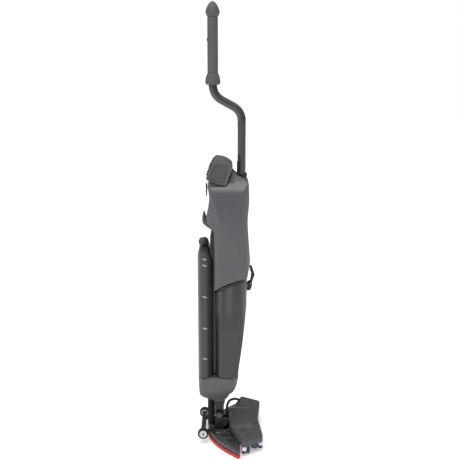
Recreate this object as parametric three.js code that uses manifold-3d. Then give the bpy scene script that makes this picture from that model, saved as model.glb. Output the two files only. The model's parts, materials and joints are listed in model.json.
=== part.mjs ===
// Upright battery floor scrubber: two tanks on a spine, a tilting and swivelling foot, a low brush head.
// Millimetres. +X is the front, +Z is up, the middle plane is Y = 0 and the floor is Z = 0.
import * as THREE from 'three';
import { mergeVertices } from 'three/addons/utils/BufferGeometryUtils.js';
import Module from 'manifold-3d';

const wasm = await Module();
wasm.setup();

// Driving dimensions
const GAP = 0.4; // between pieces that meet
const WALL = 3; // moulded shells
const SIDES = 16; // of a round bar or turned piece

const POLE_X = 31;
const POLE_RADIUS = 11;
const POLE_WALL = 1.6;
const POLE_BOTTOM = 672;
const POLE_BEND_Z = 911;
const GRIP_X = -45;
const GRIP_BEND_Z = 952;
const COLLAR_Z = 979;
const COLLAR_HEIGHT = 31;
const GRIP_LENGTH = 141;
const GRIP_RADIUS = 13.8;
const KNOB_LENGTH = 39;
const KNOB_RADIUS = 18.5;

const BODY_HALF_WIDTH = 84;
const BODY_REAR = -42;
const SKIRT_REAR_Z = 437;
const SKIRT_FRONT_Z = 476;
const BODY_FRONT = 54;
const CONSOLE_HALF_WIDTH = 58;
const PANEL_THICK = 3;
const BUTTON_RADIUS = 7;

const TANK_HALF_WIDTH = 80;
const TANK_FLOOR = 195.6;
const TANK_WALL = 2.4;
const TANK_ROUND = 4;
const CLEAN_REAR = -87;
const CLEAN_FRONT = -46;
const CAP_RADIUS = 13.7;
const CAP_TILT = 0.15;
const RECOVERY_REAR = -38;
const RECOVERY_FOOT_FRONT = 22.7;
const RECOVERY_TOP_FRONT = 46;
const LID_THICK = 6;
const PIPE_RADIUS = 7;

const SPINE_HALF_WIDTH = 55;
const SPINE_TOP = 595;

const PIVOT_X = -30;
const PIVOT_Z = 64;
const PIN_RADIUS = 4;
const LUG_RADIUS = 12;
const LUG_HALF_WIDTH = 18.8;
const EAR_THICK = 5.2;
const CAP_LENGTH = 6;
const CAP_HEAD = 10; // radius of the pin's end caps
const TURN_RADIUS = 23;
const TONGUE_BOTTOM = 6;
const TONGUE_TOP = 12;
const RING_HEIGHT = 7.7;
const BELLOWS_X = -53;
const BELLOWS_RADIUS = 10;

const FRONT_BLADE_X = 24.4;
const BLADE_THICK = 3;
const BRUSH_RADIUS = 12.5;
const REAR_BRUSH_X = FRONT_BLADE_X + BLADE_THICK + 2.1 + BRUSH_RADIUS;
const FRONT_BRUSH_X = REAR_BRUSH_X + 2 * BRUSH_RADIUS + 1.5;
const REAR_BRUSH_HALF = 128;
const FRONT_BRUSH_HALF = 100;
const SHAFT_RADIUS = 4.5;
const CHEEK_THICK = 3;
const COVER_BOTTOM = 2 * BRUSH_RADIUS + 3;
const COVER_TOP = COVER_BOTTOM + 18;
const COVER_REAR = -2;
const COVER_FRONT = FRONT_BRUSH_X + BRUSH_RADIUS + 9;
const HOOD_HALF_WIDTH = 38;
const HOOD_TOP = COVER_TOP + 12;
const MOTOR_RADIUS = 9.8;
const MOTOR_X = 25;
const BUMPER_RADIUS = 6.5;
const BUMPER_POST = 2;
const REAR_BUMPER = [REAR_BRUSH_X - 4, REAR_BRUSH_HALF + 11.7];
const FRONT_BUMPER = [COVER_FRONT - 7.8, FRONT_BRUSH_HALF + 7.6];
const SQUEEGEE_APEX = -63;
const SQUEEGEE_HALF_WIDTH = 156;
const SQUEEGEE_SWEEP = 84; // how far the tips lie ahead of the apex
const BLADE_HEIGHT = 9;
const FRAME_BOTTOM = 6;
const FRAME_TOP = 20;
const RIM_RADIUS = 47;
const RIM_RISE = 2.6;
const WHEEL_X = -74.4;
const WHEEL_Y = 68;
const WHEEL_Z = 29.8;
const WHEEL_RADIUS = 15;
const HUB_RADIUS = 10;
const WHEEL_WIDTH = 13;
const AXLE_RADIUS = 2.6;

// Colours
const look = (color, roughness, metalness = 0) => new THREE.MeshStandardMaterial({ color, roughness,
  metalness });
const GREY = look(0x5f6062, 0.5);
const GRIP_GREY = look(0x565756, 0.75);
const TUBE = look(0x3c3c3f, 0.35, 0.4);
const TANK = look(0x464645, 0.25);
const BLACK = look(0x161616, 0.5);
const DECK = look(0x444547, 0.45);
const GLOSS = look(0x101114, 0.08);
const RUBBER = look(0x1b1b1b, 0.9);
const RED = look(0xb42320, 0.6);
const PALE = look(0xd7defa, 0.4);
const WHITE = look(0xebebeb, 0.4);
const TEAL = look(0x2d5a64, 0.5);
const STEEL = look(0x9a9c9e, 0.3, 0.9);
const BOARD = look(0x1f5b35, 0.6);

// Solids: a geometry goes in as a closed mesh and comes back as one
const V = (x, y, z) => new THREE.Vector3(x, y, z);

function solidOf(geometry) {
  const bare = new THREE.BufferGeometry();
  bare.setAttribute('position', geometry.getAttribute('position'));
  bare.setIndex(geometry.index);
  const merged = mergeVertices(bare, 1e-4);
  const vertProperties = new Float32Array(merged.getAttribute('position').array);
  const triVerts = new Uint32Array(merged.index.array);
  return new wasm.Manifold(new wasm.Mesh({ numProp: 3, vertProperties, triVerts }));
}

// Rounding errors where two faces graze can leave a crumb of next to no volume, which is dropped here
const CRUMB = 0.01;

function geometryOf(solid) {
  const pieces = solid.decompose().filter((piece) => piece.volume() > CRUMB);
  const mesh = pieces.reduce((all, piece) => all.add(piece)).getMesh();
  const geometry = new THREE.BufferGeometry();
  geometry.setAttribute('position', new THREE.BufferAttribute(mesh.vertProperties, 3));
  geometry.setIndex(new THREE.BufferAttribute(mesh.triVerts, 1));
  return geometry;
}

const join = (first, ...others) => geometryOf(others.reduce((all, one) => all.add(solidOf(one)),
  solidOf(first)));
const cut = (first, ...tools) => geometryOf(tools.reduce((all, one) => all.subtract(solidOf(one)),
  solidOf(first)));
const meet = (first, ...others) => geometryOf(
  others.reduce((all, one) => all.intersect(solidOf(one)), solidOf(first)),
);

const hull = (...parts) => geometryOf(wasm.Manifold.hull(parts.map(solidOf)));

function box(x0, x1, y0, y1, z0, z1) {
  const geometry = new THREE.BoxGeometry(x1 - x0, y1 - y0, z1 - z0);
  return geometry.translate((x0 + x1) / 2, (y0 + y1) / 2, (z0 + z1) / 2);
}

function bar(from, to, radius, sides = SIDES) {
  const along = to.clone().sub(from);
  const geometry = new THREE.CylinderGeometry(radius, radius, along.length(), sides);
  geometry.applyQuaternion(new THREE.Quaternion().setFromUnitVectors(V(0, 1, 0), along.normalize()));
  const middle = from.clone().add(to).multiplyScalar(0.5);
  return geometry.translate(middle.x, middle.y, middle.z);
}

// A profile of [radius, height] from the bottom of the axis to its top, turned about +Z
function turned(profile, sides = SIDES) {
  const geometry = new THREE.LatheGeometry(profile.map(([r, h]) => new THREE.Vector2(r, h)), sides);
  return geometry.rotateX(Math.PI / 2);
}

const tubeProfile = (inner, outer, z0, z1) => [[inner, z0], [outer, z0], [outer, z1], [inner, z1],
  [inner, z0]];

// Corners are [x, y, round]; round is how much of each neighbouring edge the rounded corner takes
function outline(corners, round = 0) {
  const shape = new THREE.Shape();
  const at = (index) => new THREE.Vector2(...corners[(index + corners.length) % corners.length].slice(0, 2));
  corners.forEach((corner, index) => {
    const here = at(index);
    const size = corner[2] ?? round;
    const step = (other) => {
      const way = other.clone().sub(here);
      return here.clone().addScaledVector(way.clone().normalize(), Math.min(size, way.length() * 0.48));
    };
    const start = step(at(index - 1));
    const end = step(at(index + 1));
    if (index === 0) shape.moveTo(start.x, start.y);
    else shape.lineTo(start.x, start.y);
    if (size > 0) shape.quadraticCurveTo(here.x, here.y, end.x, end.y);
  });
  shape.closePath();
  return shape;
}

function extruded(shape, depth, inset = 0, bevel = 0) {
  return new THREE.ExtrudeGeometry(shape, {
    depth: depth - 2 * bevel, steps: 1, curveSegments: 3,
    bevelEnabled: true, bevelThickness: bevel, bevelSize: bevel, bevelOffset: -bevel - inset,
    bevelSegments: bevel > 0 ? 2 : 0,
  }).translate(0, 0, bevel);
}

// Prisms with their outline in X and Z, in X and Y, or in Y and Z
const sidePrism = (shape, y0, y1, inset, bevel) => (
  extruded(shape, y1 - y0, inset, bevel).rotateX(Math.PI / 2).translate(0, y1, 0));
const planPrism = (shape, z0, z1, inset, bevel) => extruded(shape, z1 - z0, inset, bevel).translate(0, 0, z0);
const frontPrism = (shape, x0, x1, inset, bevel) => extruded(shape, x1 - x0, inset, bevel)
  .applyMatrix4(new THREE.Matrix4().makeBasis(V(0, 1, 0), V(0, 0, 1), V(1, 0, 0))).translate(x0, 0, 0);

const mirrored = (corners) => [...corners, ...corners.map(([x, y, ...rest]) => [x, -y, ...rest]).reverse()];
const mirroredWide = (corners) => [...corners, ...corners.map(([y, z, ...rest]) => [-y, z,
  ...rest]).reverse()];

const machine = new THREE.Group();

function add(name, geometry, material) {
  const mesh = new THREE.Mesh(geometry, material);
  mesh.name = name;
  machine.add(mesh);
}

// Handle
function bentTube(radius, overrun) {
  const lean = V(GRIP_X - POLE_X, 0, GRIP_BEND_Z - POLE_BEND_Z).normalize();
  const round = 23;
  const corner = (at, before, after) => new THREE.QuadraticBezierCurve3(
    at.clone().addScaledVector(before, -round), at, at.clone().addScaledVector(after, round));
  const low = corner(V(POLE_X, 0, POLE_BEND_Z), V(0, 0, 1), lean);
  const high = corner(V(GRIP_X, 0, GRIP_BEND_Z), lean, V(0, 0, 1));
  const path = new THREE.CurvePath();
  path.add(low);
  path.add(new THREE.LineCurve3(low.v2, high.v0));
  path.add(high);
  const ring = new THREE.Shape();
  ring.absarc(0, 0, radius, 0, Math.PI * 2);
  const bend = new THREE.ExtrudeGeometry(ring, {
    extrudePath: path, steps: 12, curveSegments: 7, bevelEnabled: false });
  const top = COLLAR_Z + COLLAR_HEIGHT + GRIP_LENGTH - 4 + overrun;
  const lap = 0.05;
  const lower = bar(V(POLE_X, 0, POLE_BOTTOM - overrun), V(POLE_X, 0, POLE_BEND_Z - round + lap), radius, 14);
  const upper = bar(V(GRIP_X, 0, GRIP_BEND_Z + round - lap), V(GRIP_X, 0, top), radius, 14);
  return join(lower, bend, upper);
}

function addHandle() {
  const gripBottom = COLLAR_Z + COLLAR_HEIGHT;
  const gripTop = gripBottom + GRIP_LENGTH;
  const bore = POLE_RADIUS + GAP;
  add('handle_tube', cut(bentTube(POLE_RADIUS, 0), bentTube(POLE_RADIUS - POLE_WALL, 1)), TUBE);
  const collar = [
    [bore, COLLAR_Z], [15, COLLAR_Z], [19, COLLAR_Z + 3], [20, COLLAR_Z + 9], [18, COLLAR_Z + 19],
    [15.5, COLLAR_Z + 27], [GRIP_RADIUS, gripBottom - GAP], [bore, gripBottom - GAP], [bore, COLLAR_Z],
  ];
  add('grip_collar', turned(collar).translate(GRIP_X, 0, 0), GRIP_GREY);
  const buttonZ = gripBottom + 84;
  const sleeve = turned(tubeProfile(bore, GRIP_RADIUS, gripBottom, gripTop - GAP)).translate(GRIP_X, 0, 0);
  const buttonAt = (x) => V(GRIP_X - x, 0, buttonZ);
  add('grip_sleeve', cut(sleeve, bar(buttonAt(POLE_RADIUS), buttonAt(GRIP_RADIUS + 2), 5.4, 16)), GRIP_GREY);
  add('grip_button', bar(buttonAt(POLE_RADIUS + 1.7), buttonAt(GRIP_RADIUS + 1.2), 4.9, 16), BLACK);
  const knob = [
    [0, gripTop], [GRIP_RADIUS, gripTop], [KNOB_RADIUS - 1, gripTop + 5], [KNOB_RADIUS, gripTop + 11],
    [KNOB_RADIUS - 1.2, gripTop + 18], [KNOB_RADIUS - 5, gripTop + 27], [8, gripTop + 35], [3.5,
      gripTop + 38.2],
    [0, gripTop + KNOB_LENGTH],
  ];
  add('grip_end_knob', turned(knob).translate(GRIP_X, 0, 0), GRIP_GREY);
}

// Body shell: a side outline, a plan outline and a front outline met together
const bodySide = outline([
  [BODY_REAR - 1.6, SKIRT_REAR_Z, 1], [BODY_REAR, 470, 4], [BODY_REAR, 600, 5], [-62, 622, 5], [-64, 633,
    4], [-58, 658, 8],
  [-54.4, 688, 8], [-57, 708, 4], [-60, 716, 2], [-9, 718.5, 1], [6.5, 758, 3], [16, 747, 6], [41, 733, 5],
  [50, 726, 5], [51.5, 674, 20], [46, 630, 20], [49, 583, 20], [BODY_FRONT, 517, 8],
  [47, SKIRT_FRONT_Z + 2, 2], [46, SKIRT_FRONT_Z, 1], [7, 465, 12], [-20, 453, 12],
]);
const bodyPlan = (creaseX, front, frontY, round) => outline(mirrored([
  [-78, -36, 14], [-40, -78, 20], [creaseX, -BODY_HALF_WIDTH, round], [front, -frontY, 16]]));
const bodyFront = outline(mirroredWide([
  [80, 430, 2], [BODY_HALF_WIDTH, 520, 30], [79, 640, 30], [68, 706, 14], [50, 728, 8], [34, 765, 8]]));

function bodySolid(inset) {
  const side = sidePrism(bodySide, -90, 90, inset);
  const low = planPrism(bodyPlan(44, 60, 66, 8), 420, 421, inset);
  const high = planPrism(bodyPlan(19, 56, 60, 10), 779, 780, inset);
  const whole = meet(side, hull(low, high), frontPrism(bodyFront, -90, 70, inset));
  return geometryOf(solidOf(whole).simplify(0.02));
}

const SOCKET_RADIUS = POLE_RADIUS + GAP + 3;

function addBody() {
  const hollow = cut(
    bodySolid(0), bodySolid(WALL),
    bar(V(POLE_X, 0, 700), V(POLE_X, 0, 770), SOCKET_RADIUS + GAP),
    bar(V(0, 0, 440), V(0, 0, 480), 12),
    box(-60, BODY_REAR - GAP / 2, -SPINE_HALF_WIDTH - GAP, SPINE_HALF_WIDTH + GAP, 420, 472),
  );
  const seam = GAP / 2;
  add('body_shell_right', meet(hollow, box(-100, 100, -100, -seam, 400, 800)), GREY);
  add('body_shell_left', meet(hollow, box(-100, 100, seam, 100, 400, 800)), GREY);
  const socketProfile = [
    [POLE_RADIUS + GAP, 682], [SOCKET_RADIUS, 682], [SOCKET_RADIUS, 744], [POLE_RADIUS + GAP, 744],
    [POLE_RADIUS + GAP, 682]];
  add('pole_socket', turned(socketProfile).translate(POLE_X, 0, 0), BLACK);
  const hook = outline([
    [-42.6, 598.4], [-62.8, 620.6, 2], [-66.5, 626, 3], [-69, 637, 1], [-74, 637, 1], [-74, 619, 6], [-66,
      611, 4],
    [-44.8, 596.4]]);
  add('rear_hook', sidePrism(hook, -42, 42), GREY);
}

// Console: a block leaning forward, with a battery pushed in from each side
const CONSOLE_REAR_LOW = V(-63.2, 0, 739.2);
const CONSOLE_REAR_HIGH = V(-40.7, 0, 792);
const consoleSide = outline([
  [CONSOLE_REAR_LOW.x, CONSOLE_REAR_LOW.z, 3], [CONSOLE_REAR_HIGH.x, CONSOLE_REAR_HIGH.z, 7], [-12, 788, 14],
  [8.5, 772, 9], [4.6, 759.5, 1], [-9.8, 719.6, 2], [-29, 722.4, 6], [-60, 733, 3]]);

const CONSOLE_UP = CONSOLE_REAR_HIGH.clone().sub(CONSOLE_REAR_LOW).normalize();

const batteryEnd = outline([
  [-39, 776.5, 7], [-3.5, 772, 9], [-13.5, 728, 8], [-33, 727, 10], [-57.5, 737, 5]]);

function addConsole() {
  const inner = 1.6;
  const pocket = (sign) => sidePrism(batteryEnd, Math.min(sign * inner, sign * 70),
    Math.max(sign * inner, sign * 70));
  const block = sidePrism(consoleSide, -CONSOLE_HALF_WIDTH, CONSOLE_HALF_WIDTH, 0, 1.5);
  add('console_housing', cut(block, pocket(-1), pocket(1)), GREY);
  const packStart = inner + GAP;
  const packEnd = CONSOLE_HALF_WIDTH - 1.5;
  add('battery_pack_right', sidePrism(batteryEnd, -packEnd, -packStart, GAP, 1.5), GRIP_GREY);
  add('battery_pack_left', sidePrism(batteryEnd, packStart, packEnd, GAP, 1.5), GRIP_GREY);

  const turn = new THREE.Matrix4().makeBasis(CONSOLE_UP, V(0, 1, 0), V(-CONSOLE_UP.z, 0, CONSOLE_UP.x));
  const middle = CONSOLE_REAR_HIGH.clone().add(CONSOLE_REAR_LOW).multiplyScalar(0.5);
  const onFace = (geometry) => geometry.applyMatrix4(turn).translate(middle.x, middle.y, middle.z);
  const plate = planPrism(outline(mirrored([[-23, -42, 6], [22, -42, 6]])), GAP, PANEL_THICK + GAP);
  const hole = (y) => bar(V(2, y, -10), V(2, y, 5), BUTTON_RADIUS + GAP);
  add('control_panel', onFace(cut(plate, hole(-14), hole(14))), GLOSS);
  const button = (y) => onFace(bar(V(2, y, GAP + 1.4), V(2, y, PANEL_THICK + GAP + 1.4), BUTTON_RADIUS));
  add('power_button', button(-14), STEEL);
  add('flow_button', button(14), GREY);
  const tab = outline([[-64.6, 687, 1], [-62.2, 687, 1], [-61.2, 719, 1], [-65, 719, 1]]);
  add('battery_release_lever', sidePrism(tab, -18, 18), BLACK);
}

function addInside() {
  add('suction_motor', join(
    bar(V(3, 0, 506), V(3, 0, 566), 32), bar(V(3, 0, 500), V(3, 0, 507), 26), bar(V(3, 0, 484),
      V(3, 0, 501), 3)),
  STEEL);
  const fan = turned([[3.4, 486], [27, 486], [28, 490], [10, 497], [3.4, 497], [3.4, 486]]);
  add('suction_fan', fan.translate(3, 0, 0), BLACK);
  add('control_board', box(-37, -35, -40, 40, 628, 694), BOARD);
  add('solution_pump', join(box(-16, 16, -18, 18, 578, 604), bar(V(0, 17, 591), V(0, 40, 591), 11)), BLACK);
}

// Spine between the tanks
function addSpine() {
  const spine = outline([
    [CLEAN_FRONT + 0.6, TANK_FLOOR + GAP], [RECOVERY_REAR - 0.6, TANK_FLOOR + GAP], [RECOVERY_REAR - 0.6,
      424, 1],
    [BODY_REAR - GAP, 434], [BODY_REAR - GAP, SPINE_TOP - 4], [-46, SPINE_TOP], [-53, SPINE_TOP - 8,
      3], [-53, 536, 2],
    [CLEAN_FRONT + 0.6, 519, 2]]);
  add('spine_frame', sidePrism(spine, -SPINE_HALF_WIDTH, SPINE_HALF_WIDTH), BLACK);
}

// Tanks
const tankPlan = (rear, front) => outline(mirrored([[rear, -62, 16], [rear + 10, -TANK_HALF_WIDTH, 14],
  [front - 18, -TANK_HALF_WIDTH, 14], [front, -56, 18]]));
const cleanSide = outline([
  [CLEAN_REAR, TANK_FLOOR, TANK_ROUND], [CLEAN_FRONT, TANK_FLOOR, 1], [CLEAN_FRONT, 516, 4], [-60, 546, 4],
  [-80, 551, 6], [CLEAN_REAR, 538, 8]]);
const NECK = V(-70, 0, 547);
const NECK_AXIS = V(-Math.sin(CAP_TILT), 0, Math.cos(CAP_TILT));
const onNeck = (distance) => NECK.clone().addScaledVector(NECK_AXIS, distance);

function cleanSolid(inset) {
  const plan = planPrism(tankPlan(CLEAN_REAR, CLEAN_FRONT), 180, 580, inset);
  return meet(sidePrism(cleanSide, -100, 100, inset), plan);
}

function addCleanTank() {
  const neckRadius = CAP_RADIUS - 2.6;
  const bore = bar(onNeck(-14), onNeck(20), neckRadius - 1.8);
  const body = join(cleanSolid(0), bar(onNeck(-6), onNeck(14), neckRadius));
  add('clean_tank', cut(body, cleanSolid(TANK_WALL), bore), TANK);
  const cap = join(bar(onNeck(6.5), onNeck(20), CAP_RADIUS), bar(onNeck(19), onNeck(24), CAP_RADIUS - 3));
  add('clean_tank_cap', cut(cap, bar(onNeck(0), onNeck(14 + GAP), neckRadius + GAP)), GRIP_GREY);
}

const lidLine = [[RECOVERY_REAR, 441, 0], [-20, 451, 12], [7, 463.4, 12],
  [RECOVERY_TOP_FRONT, SKIRT_FRONT_Z - 2, 0]];
const lowered = (drop) => lidLine.map(([x, z, round]) => [x, z - drop, round]);
const recoveryFront = [[44.5, 393, 8], [34.7, 297, 20], [RECOVERY_FOOT_FRONT, 215, 10]];
const recoverySide = (drop) => outline([
  ...lowered(drop), ...recoveryFront, [RECOVERY_FOOT_FRONT, TANK_FLOOR, TANK_ROUND], [RECOVERY_REAR,
    TANK_FLOOR, 1]]);
const LATCH_PIVOT = V(57, 0, 444);
const LATCH_PIN_RADIUS = 1.8;

function recoverySolid(inset, drop) {
  const plan = planPrism(tankPlan(RECOVERY_REAR, RECOVERY_TOP_FRONT + 1), 180, 500, inset);
  return meet(sidePrism(recoverySide(drop), -100, 100, inset), plan);
}

function addRecoveryTank() {
  const lidBottom = GAP * 2 + LID_THICK;
  const inner = recoverySolid(TANK_WALL, -20);
  const ear = (y) => sidePrism(outline([
    [42, 424, 1], [56, 424, 2], [61, 438, 3], [61, 448, 3], [53, 449, 3], [42, 440, 1]]), y - 1.8, y + 1.8);
  const latchBar = (half, radius) => bar(
    V(LATCH_PIVOT.x, -half, LATCH_PIVOT.z), V(LATCH_PIVOT.x, half, LATCH_PIVOT.z), radius, 16);
  const lug = cut(join(ear(-8), ear(8)), inner, latchBar(20, LATCH_PIN_RADIUS + GAP));
  const tank = cut(recoverySolid(0, lidBottom + GAP), inner);
  add('recovery_tank', join(tank, lug), TANK);
  const lid = meet(recoverySolid(0, GAP * 2), sidePrism(outline([
    ...lowered(GAP), ...lowered(lidBottom).reverse()]), -100, 100));
  add('recovery_tank_lid', cut(lid, bar(V(0, 0, 440), V(0, 0, 480), 10)), BLACK);
  const pipeX = -17.5;
  const pipe = turned(tubeProfile(PIPE_RADIUS - 1.5, PIPE_RADIUS, TANK_FLOOR + TANK_WALL + GAP, 430), 20);
  add('intake_pipe', pipe.translate(pipeX, 0, 0), GREY);
  add('exhaust_filter', box(6, 31, -20, 20, 407, 448), RUBBER);
  add('float_cage', cut(box(6, 35, -16, 16, 330, 406.4), box(8, 33, -14, 14, 320, 404)), GREY);
  const floatProfile = [[0, 334], [8, 337], [11, 345], [8, 353], [0, 356]];
  add('float', turned(floatProfile, 16).translate(20.5, 0, 0), WHITE);
  add('latch_pin', latchBar(11, LATCH_PIN_RADIUS), STEEL);
  const lever = outline([
    [54.2, 441, 2], [60, 440.6, 2], [61.5, 452, 2], [64, 459, 2], [68, 468, 3], [64, 479, 3], [60.5, 490, 3],
    [53.5, 491, 2], [54, 483, 2], [58, 476, 2], [57, 457, 2], [54, 448, 2]]);
  const wide = meet(sidePrism(lever, -12, 12), box(40, 80, -12, 12, 451, 500));
  const narrow = meet(sidePrism(lever, -5.8, 5.8), box(40, 80, -12, 12, 430, 452));
  add('tank_latch', cut(join(wide, narrow), latchBar(20, LATCH_PIN_RADIUS + GAP)), BLACK);
}

// Foot block with the tilt lug below it
function addFoot() {
  const footTop = TANK_FLOOR - GAP;
  const side = outline([
    [CLEAN_REAR, footTop], [-85.6, 162, 10], [-82, 135, 8], [-57, 117, 6], [-28, 115, 6], [-8, 134,
      8], [13, 158, 8],
    [RECOVERY_FOOT_FRONT, 178, 8], [RECOVERY_FOOT_FRONT, footTop]]);
  const front = outline(mirroredWide([[78, 200, 1], [76, 158, 20], [46, 122, 14], [26, 110, 4]]));
  const foot = meet(sidePrism(side, -100, 100), frontPrism(front, -100, 60),
    planPrism(tankPlan(CLEAN_REAR, RECOVERY_FOOT_FRONT), 90, 220));
  const lug = outline([
    [PIVOT_X - LUG_RADIUS, PIVOT_Z - LUG_RADIUS, LUG_RADIUS], [PIVOT_X + LUG_RADIUS, PIVOT_Z - LUG_RADIUS,
      LUG_RADIUS],
    [PIVOT_X + LUG_RADIUS, 88, 8], [-9, 140, 2], [PIVOT_X - LUG_RADIUS, 140, 2]]);
  const pinHole = bar(V(PIVOT_X, -30, PIVOT_Z), V(PIVOT_X, 30, PIVOT_Z), PIN_RADIUS + GAP);
  const block = join(foot, sidePrism(lug, -LUG_HALF_WIDTH, LUG_HALF_WIDTH));
  add('foot_block', cut(block, pinHole, box(-78, -50, -58, 58, 152, 220), box(-34, 8, -58, 58, 166, 220)),
    GREY);
}

// Swivel yoke on its turntable, the tilt pin and the bellows hose
function addYoke() {
  const ringTop = TONGUE_TOP + GAP + RING_HEIGHT;
  const yokeBottom = ringTop + GAP;
  const yokeTop = yokeBottom + 9;
  const earShape = outline([
    [PIVOT_X - LUG_RADIUS, yokeBottom + 2], [PIVOT_X + LUG_RADIUS, yokeBottom + 2],
    [PIVOT_X + LUG_RADIUS, PIVOT_Z + LUG_RADIUS, LUG_RADIUS], [PIVOT_X - LUG_RADIUS, PIVOT_Z + LUG_RADIUS,
      LUG_RADIUS]]);
  const earStart = LUG_HALF_WIDTH + GAP;
  const upright = (z0, z1, radius, x = PIVOT_X) => bar(V(x, 0, z0), V(x, 0, z1), radius);
  const yoke = join(
    upright(yokeBottom, yokeTop, TURN_RADIUS + 2), upright(TONGUE_TOP + 1, yokeBottom + 1, 16),
    upright(yokeBottom, yokeTop + 4.4, BELLOWS_RADIUS + 1, BELLOWS_X + 1),
    sidePrism(earShape, earStart, earStart + EAR_THICK), sidePrism(earShape, -earStart - EAR_THICK,
      -earStart));
  const pinHole = bar(V(PIVOT_X, -60, PIVOT_Z), V(PIVOT_X, 60, PIVOT_Z), PIN_RADIUS + GAP);
  add('swivel_yoke', cut(yoke, pinHole), BLACK);
  const ring = turned(tubeProfile(16.6, TURN_RADIUS, TONGUE_TOP + GAP, ringTop));
  add('turntable_ring', ring.translate(PIVOT_X, 0, 0), STEEL);
  const capStart = earStart + EAR_THICK + GAP;
  const across = (y0, y1, radius) => bar(V(PIVOT_X, y0, PIVOT_Z), V(PIVOT_X, y1, PIVOT_Z), radius);
  const pin = across(-capStart - 1, capStart + 1, PIN_RADIUS);
  add('tilt_pin', join(pin, across(capStart, capStart + CAP_LENGTH, CAP_HEAD),
    across(-capStart - CAP_LENGTH, -capStart, CAP_HEAD)), GLOSS);
  const start = yokeTop + 4.4 + GAP;
  const end = 116;
  const ribs = 8;
  const pitch = (end - start) / ribs;
  const profile = [[0, start], [BELLOWS_RADIUS - 2, start]];
  for (let rib = 0; rib < ribs; rib += 1) {
    profile.push([BELLOWS_RADIUS, start + (rib + 0.5) * pitch],
      [BELLOWS_RADIUS - 2, start + (rib + 1) * pitch]);
  }
  profile.push([0, end]);
  add('bellows_hose', turned(profile, 12).translate(BELLOWS_X, 0, 0), RUBBER);
}

// Head
const coverPlan = outline(mirrored([
  [COVER_FRONT - 10, 0, 40], [COVER_FRONT, FRONT_BUMPER[1] + 5.4, 8], [REAR_BRUSH_X - 8,
    REAR_BUMPER[1] + 9.3, 8],
  [COVER_REAR, HOOD_HALF_WIDTH + 4, 5]]));
const PLATE_BOTTOM = COVER_BOTTOM + GAP;
const PLATE_TOP = PLATE_BOTTOM + 4.6;
const MOTOR_Z = PLATE_TOP + 0.8 + MOTOR_RADIUS;

// The swivelling pin's caps turn inside a round pocket in the hood's rear
function addCover() {
  const hoodShape = outline([
    [COVER_REAR, COVER_BOTTOM - 4], [COVER_REAR, HOOD_TOP - 3, 3], [10, HOOD_TOP, 8], [46, HOOD_TOP - 1, 12],
    [66, HOOD_TOP - 8, 10], [72, COVER_TOP - 4], [72, COVER_BOTTOM - 4]]);
  const hoodFace = outline(mirroredWide([
    [HOOD_HALF_WIDTH + 32, COVER_BOTTOM - 4], [HOOD_HALF_WIDTH + 32,
      COVER_TOP - 2], [HOOD_HALF_WIDTH + 24, HOOD_TOP - 8, 8],
    [HOOD_HALF_WIDTH, HOOD_TOP, 14]]));
  const hood = (inset) => meet(
    sidePrism(hoodShape, -90, 90, inset), frontPrism(hoodFace, -20, 90, inset), planPrism(coverPlan, 0,
      90, inset));
  const pocketFloor = COVER_TOP + 1;
  const sweep = Math.hypot(LUG_HALF_WIDTH + EAR_THICK + 2 * GAP + CAP_LENGTH, CAP_HEAD) + 1.6;
  const swept = (radius, from) => bar(V(PIVOT_X, 0, from), V(PIVOT_X, 0, HOOD_TOP + 10), radius, 40);
  const slab = planPrism(coverPlan, COVER_BOTTOM - 8, COVER_TOP, 0, 3);
  const slabInside = planPrism(coverPlan, COVER_BOTTOM - 18, COVER_TOP - WALL, WALL);
  const hoodInside = cut(hood(WALL), swept(sweep + WALL, pocketFloor - WALL));
  const below = box(-200, 200, -200, 200, -10, COVER_BOTTOM);
  add('deck_cover', cut(join(slab, hood(0)), slabInside, hoodInside, below, swept(sweep, pocketFloor)), DECK);
}

function addChassis() {
  const riser = 20;
  const tongue = join(
    bar(V(PIVOT_X, 0, TONGUE_BOTTOM), V(PIVOT_X, 0, TONGUE_TOP), TURN_RADIUS),
    box(PIVOT_X, 8, -riser, riser, TONGUE_BOTTOM, TONGUE_TOP), box(1.8, 8, -riser, riser, TONGUE_BOTTOM,
      PLATE_TOP));
  const pieces = [tongue];
  for (const side of [-1, 1]) {
    const wing = (x0, x1, from, to, bottom) => box(
      x0, x1, Math.min(side * from, side * to), Math.max(side * from, side * to), bottom, PLATE_BOTTOM + 1);
    const cheek = (x0, x1, half) => wing(x0, x1, half + 1, half + 1 + CHEEK_THICK, 5);
    pieces.push(wing(6, 20, 26, 40, FRAME_TOP + GAP));
    pieces.push(cheek(REAR_BRUSH_X - 9, REAR_BRUSH_X + 11, REAR_BRUSH_HALF));
    pieces.push(cheek(FRONT_BRUSH_X - 10.5, FRONT_BRUSH_X + 6.5, FRONT_BRUSH_HALF));
    for (const [x, y] of [REAR_BUMPER, FRONT_BUMPER]) {
      pieces.push(bar(V(x, side * y, 12), V(x, side * y, PLATE_BOTTOM + 1), BUMPER_POST, 12));
      pieces.push(bar(V(x, side * y, 9), V(x, side * y, 15.4), BUMPER_RADIUS - 0.3, 20));
    }
  }
  const gearHole = box(REAR_BRUSH_X - 7, REAR_BRUSH_X + 15, -9, 9, COVER_BOTTOM - 2, PLATE_TOP + 7);
  const plate = planPrism(coverPlan, PLATE_BOTTOM, PLATE_TOP, WALL + GAP);
  add('head_chassis', cut(join(plate, ...pieces), shaftHole(REAR_BRUSH_X), shaftHole(FRONT_BRUSH_X),
    gearHole), BLACK);
}

const shaftHole = (x) => bar(V(x, -150, BRUSH_RADIUS), V(x, 150, BRUSH_RADIUS), SHAFT_RADIUS + GAP);

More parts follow.
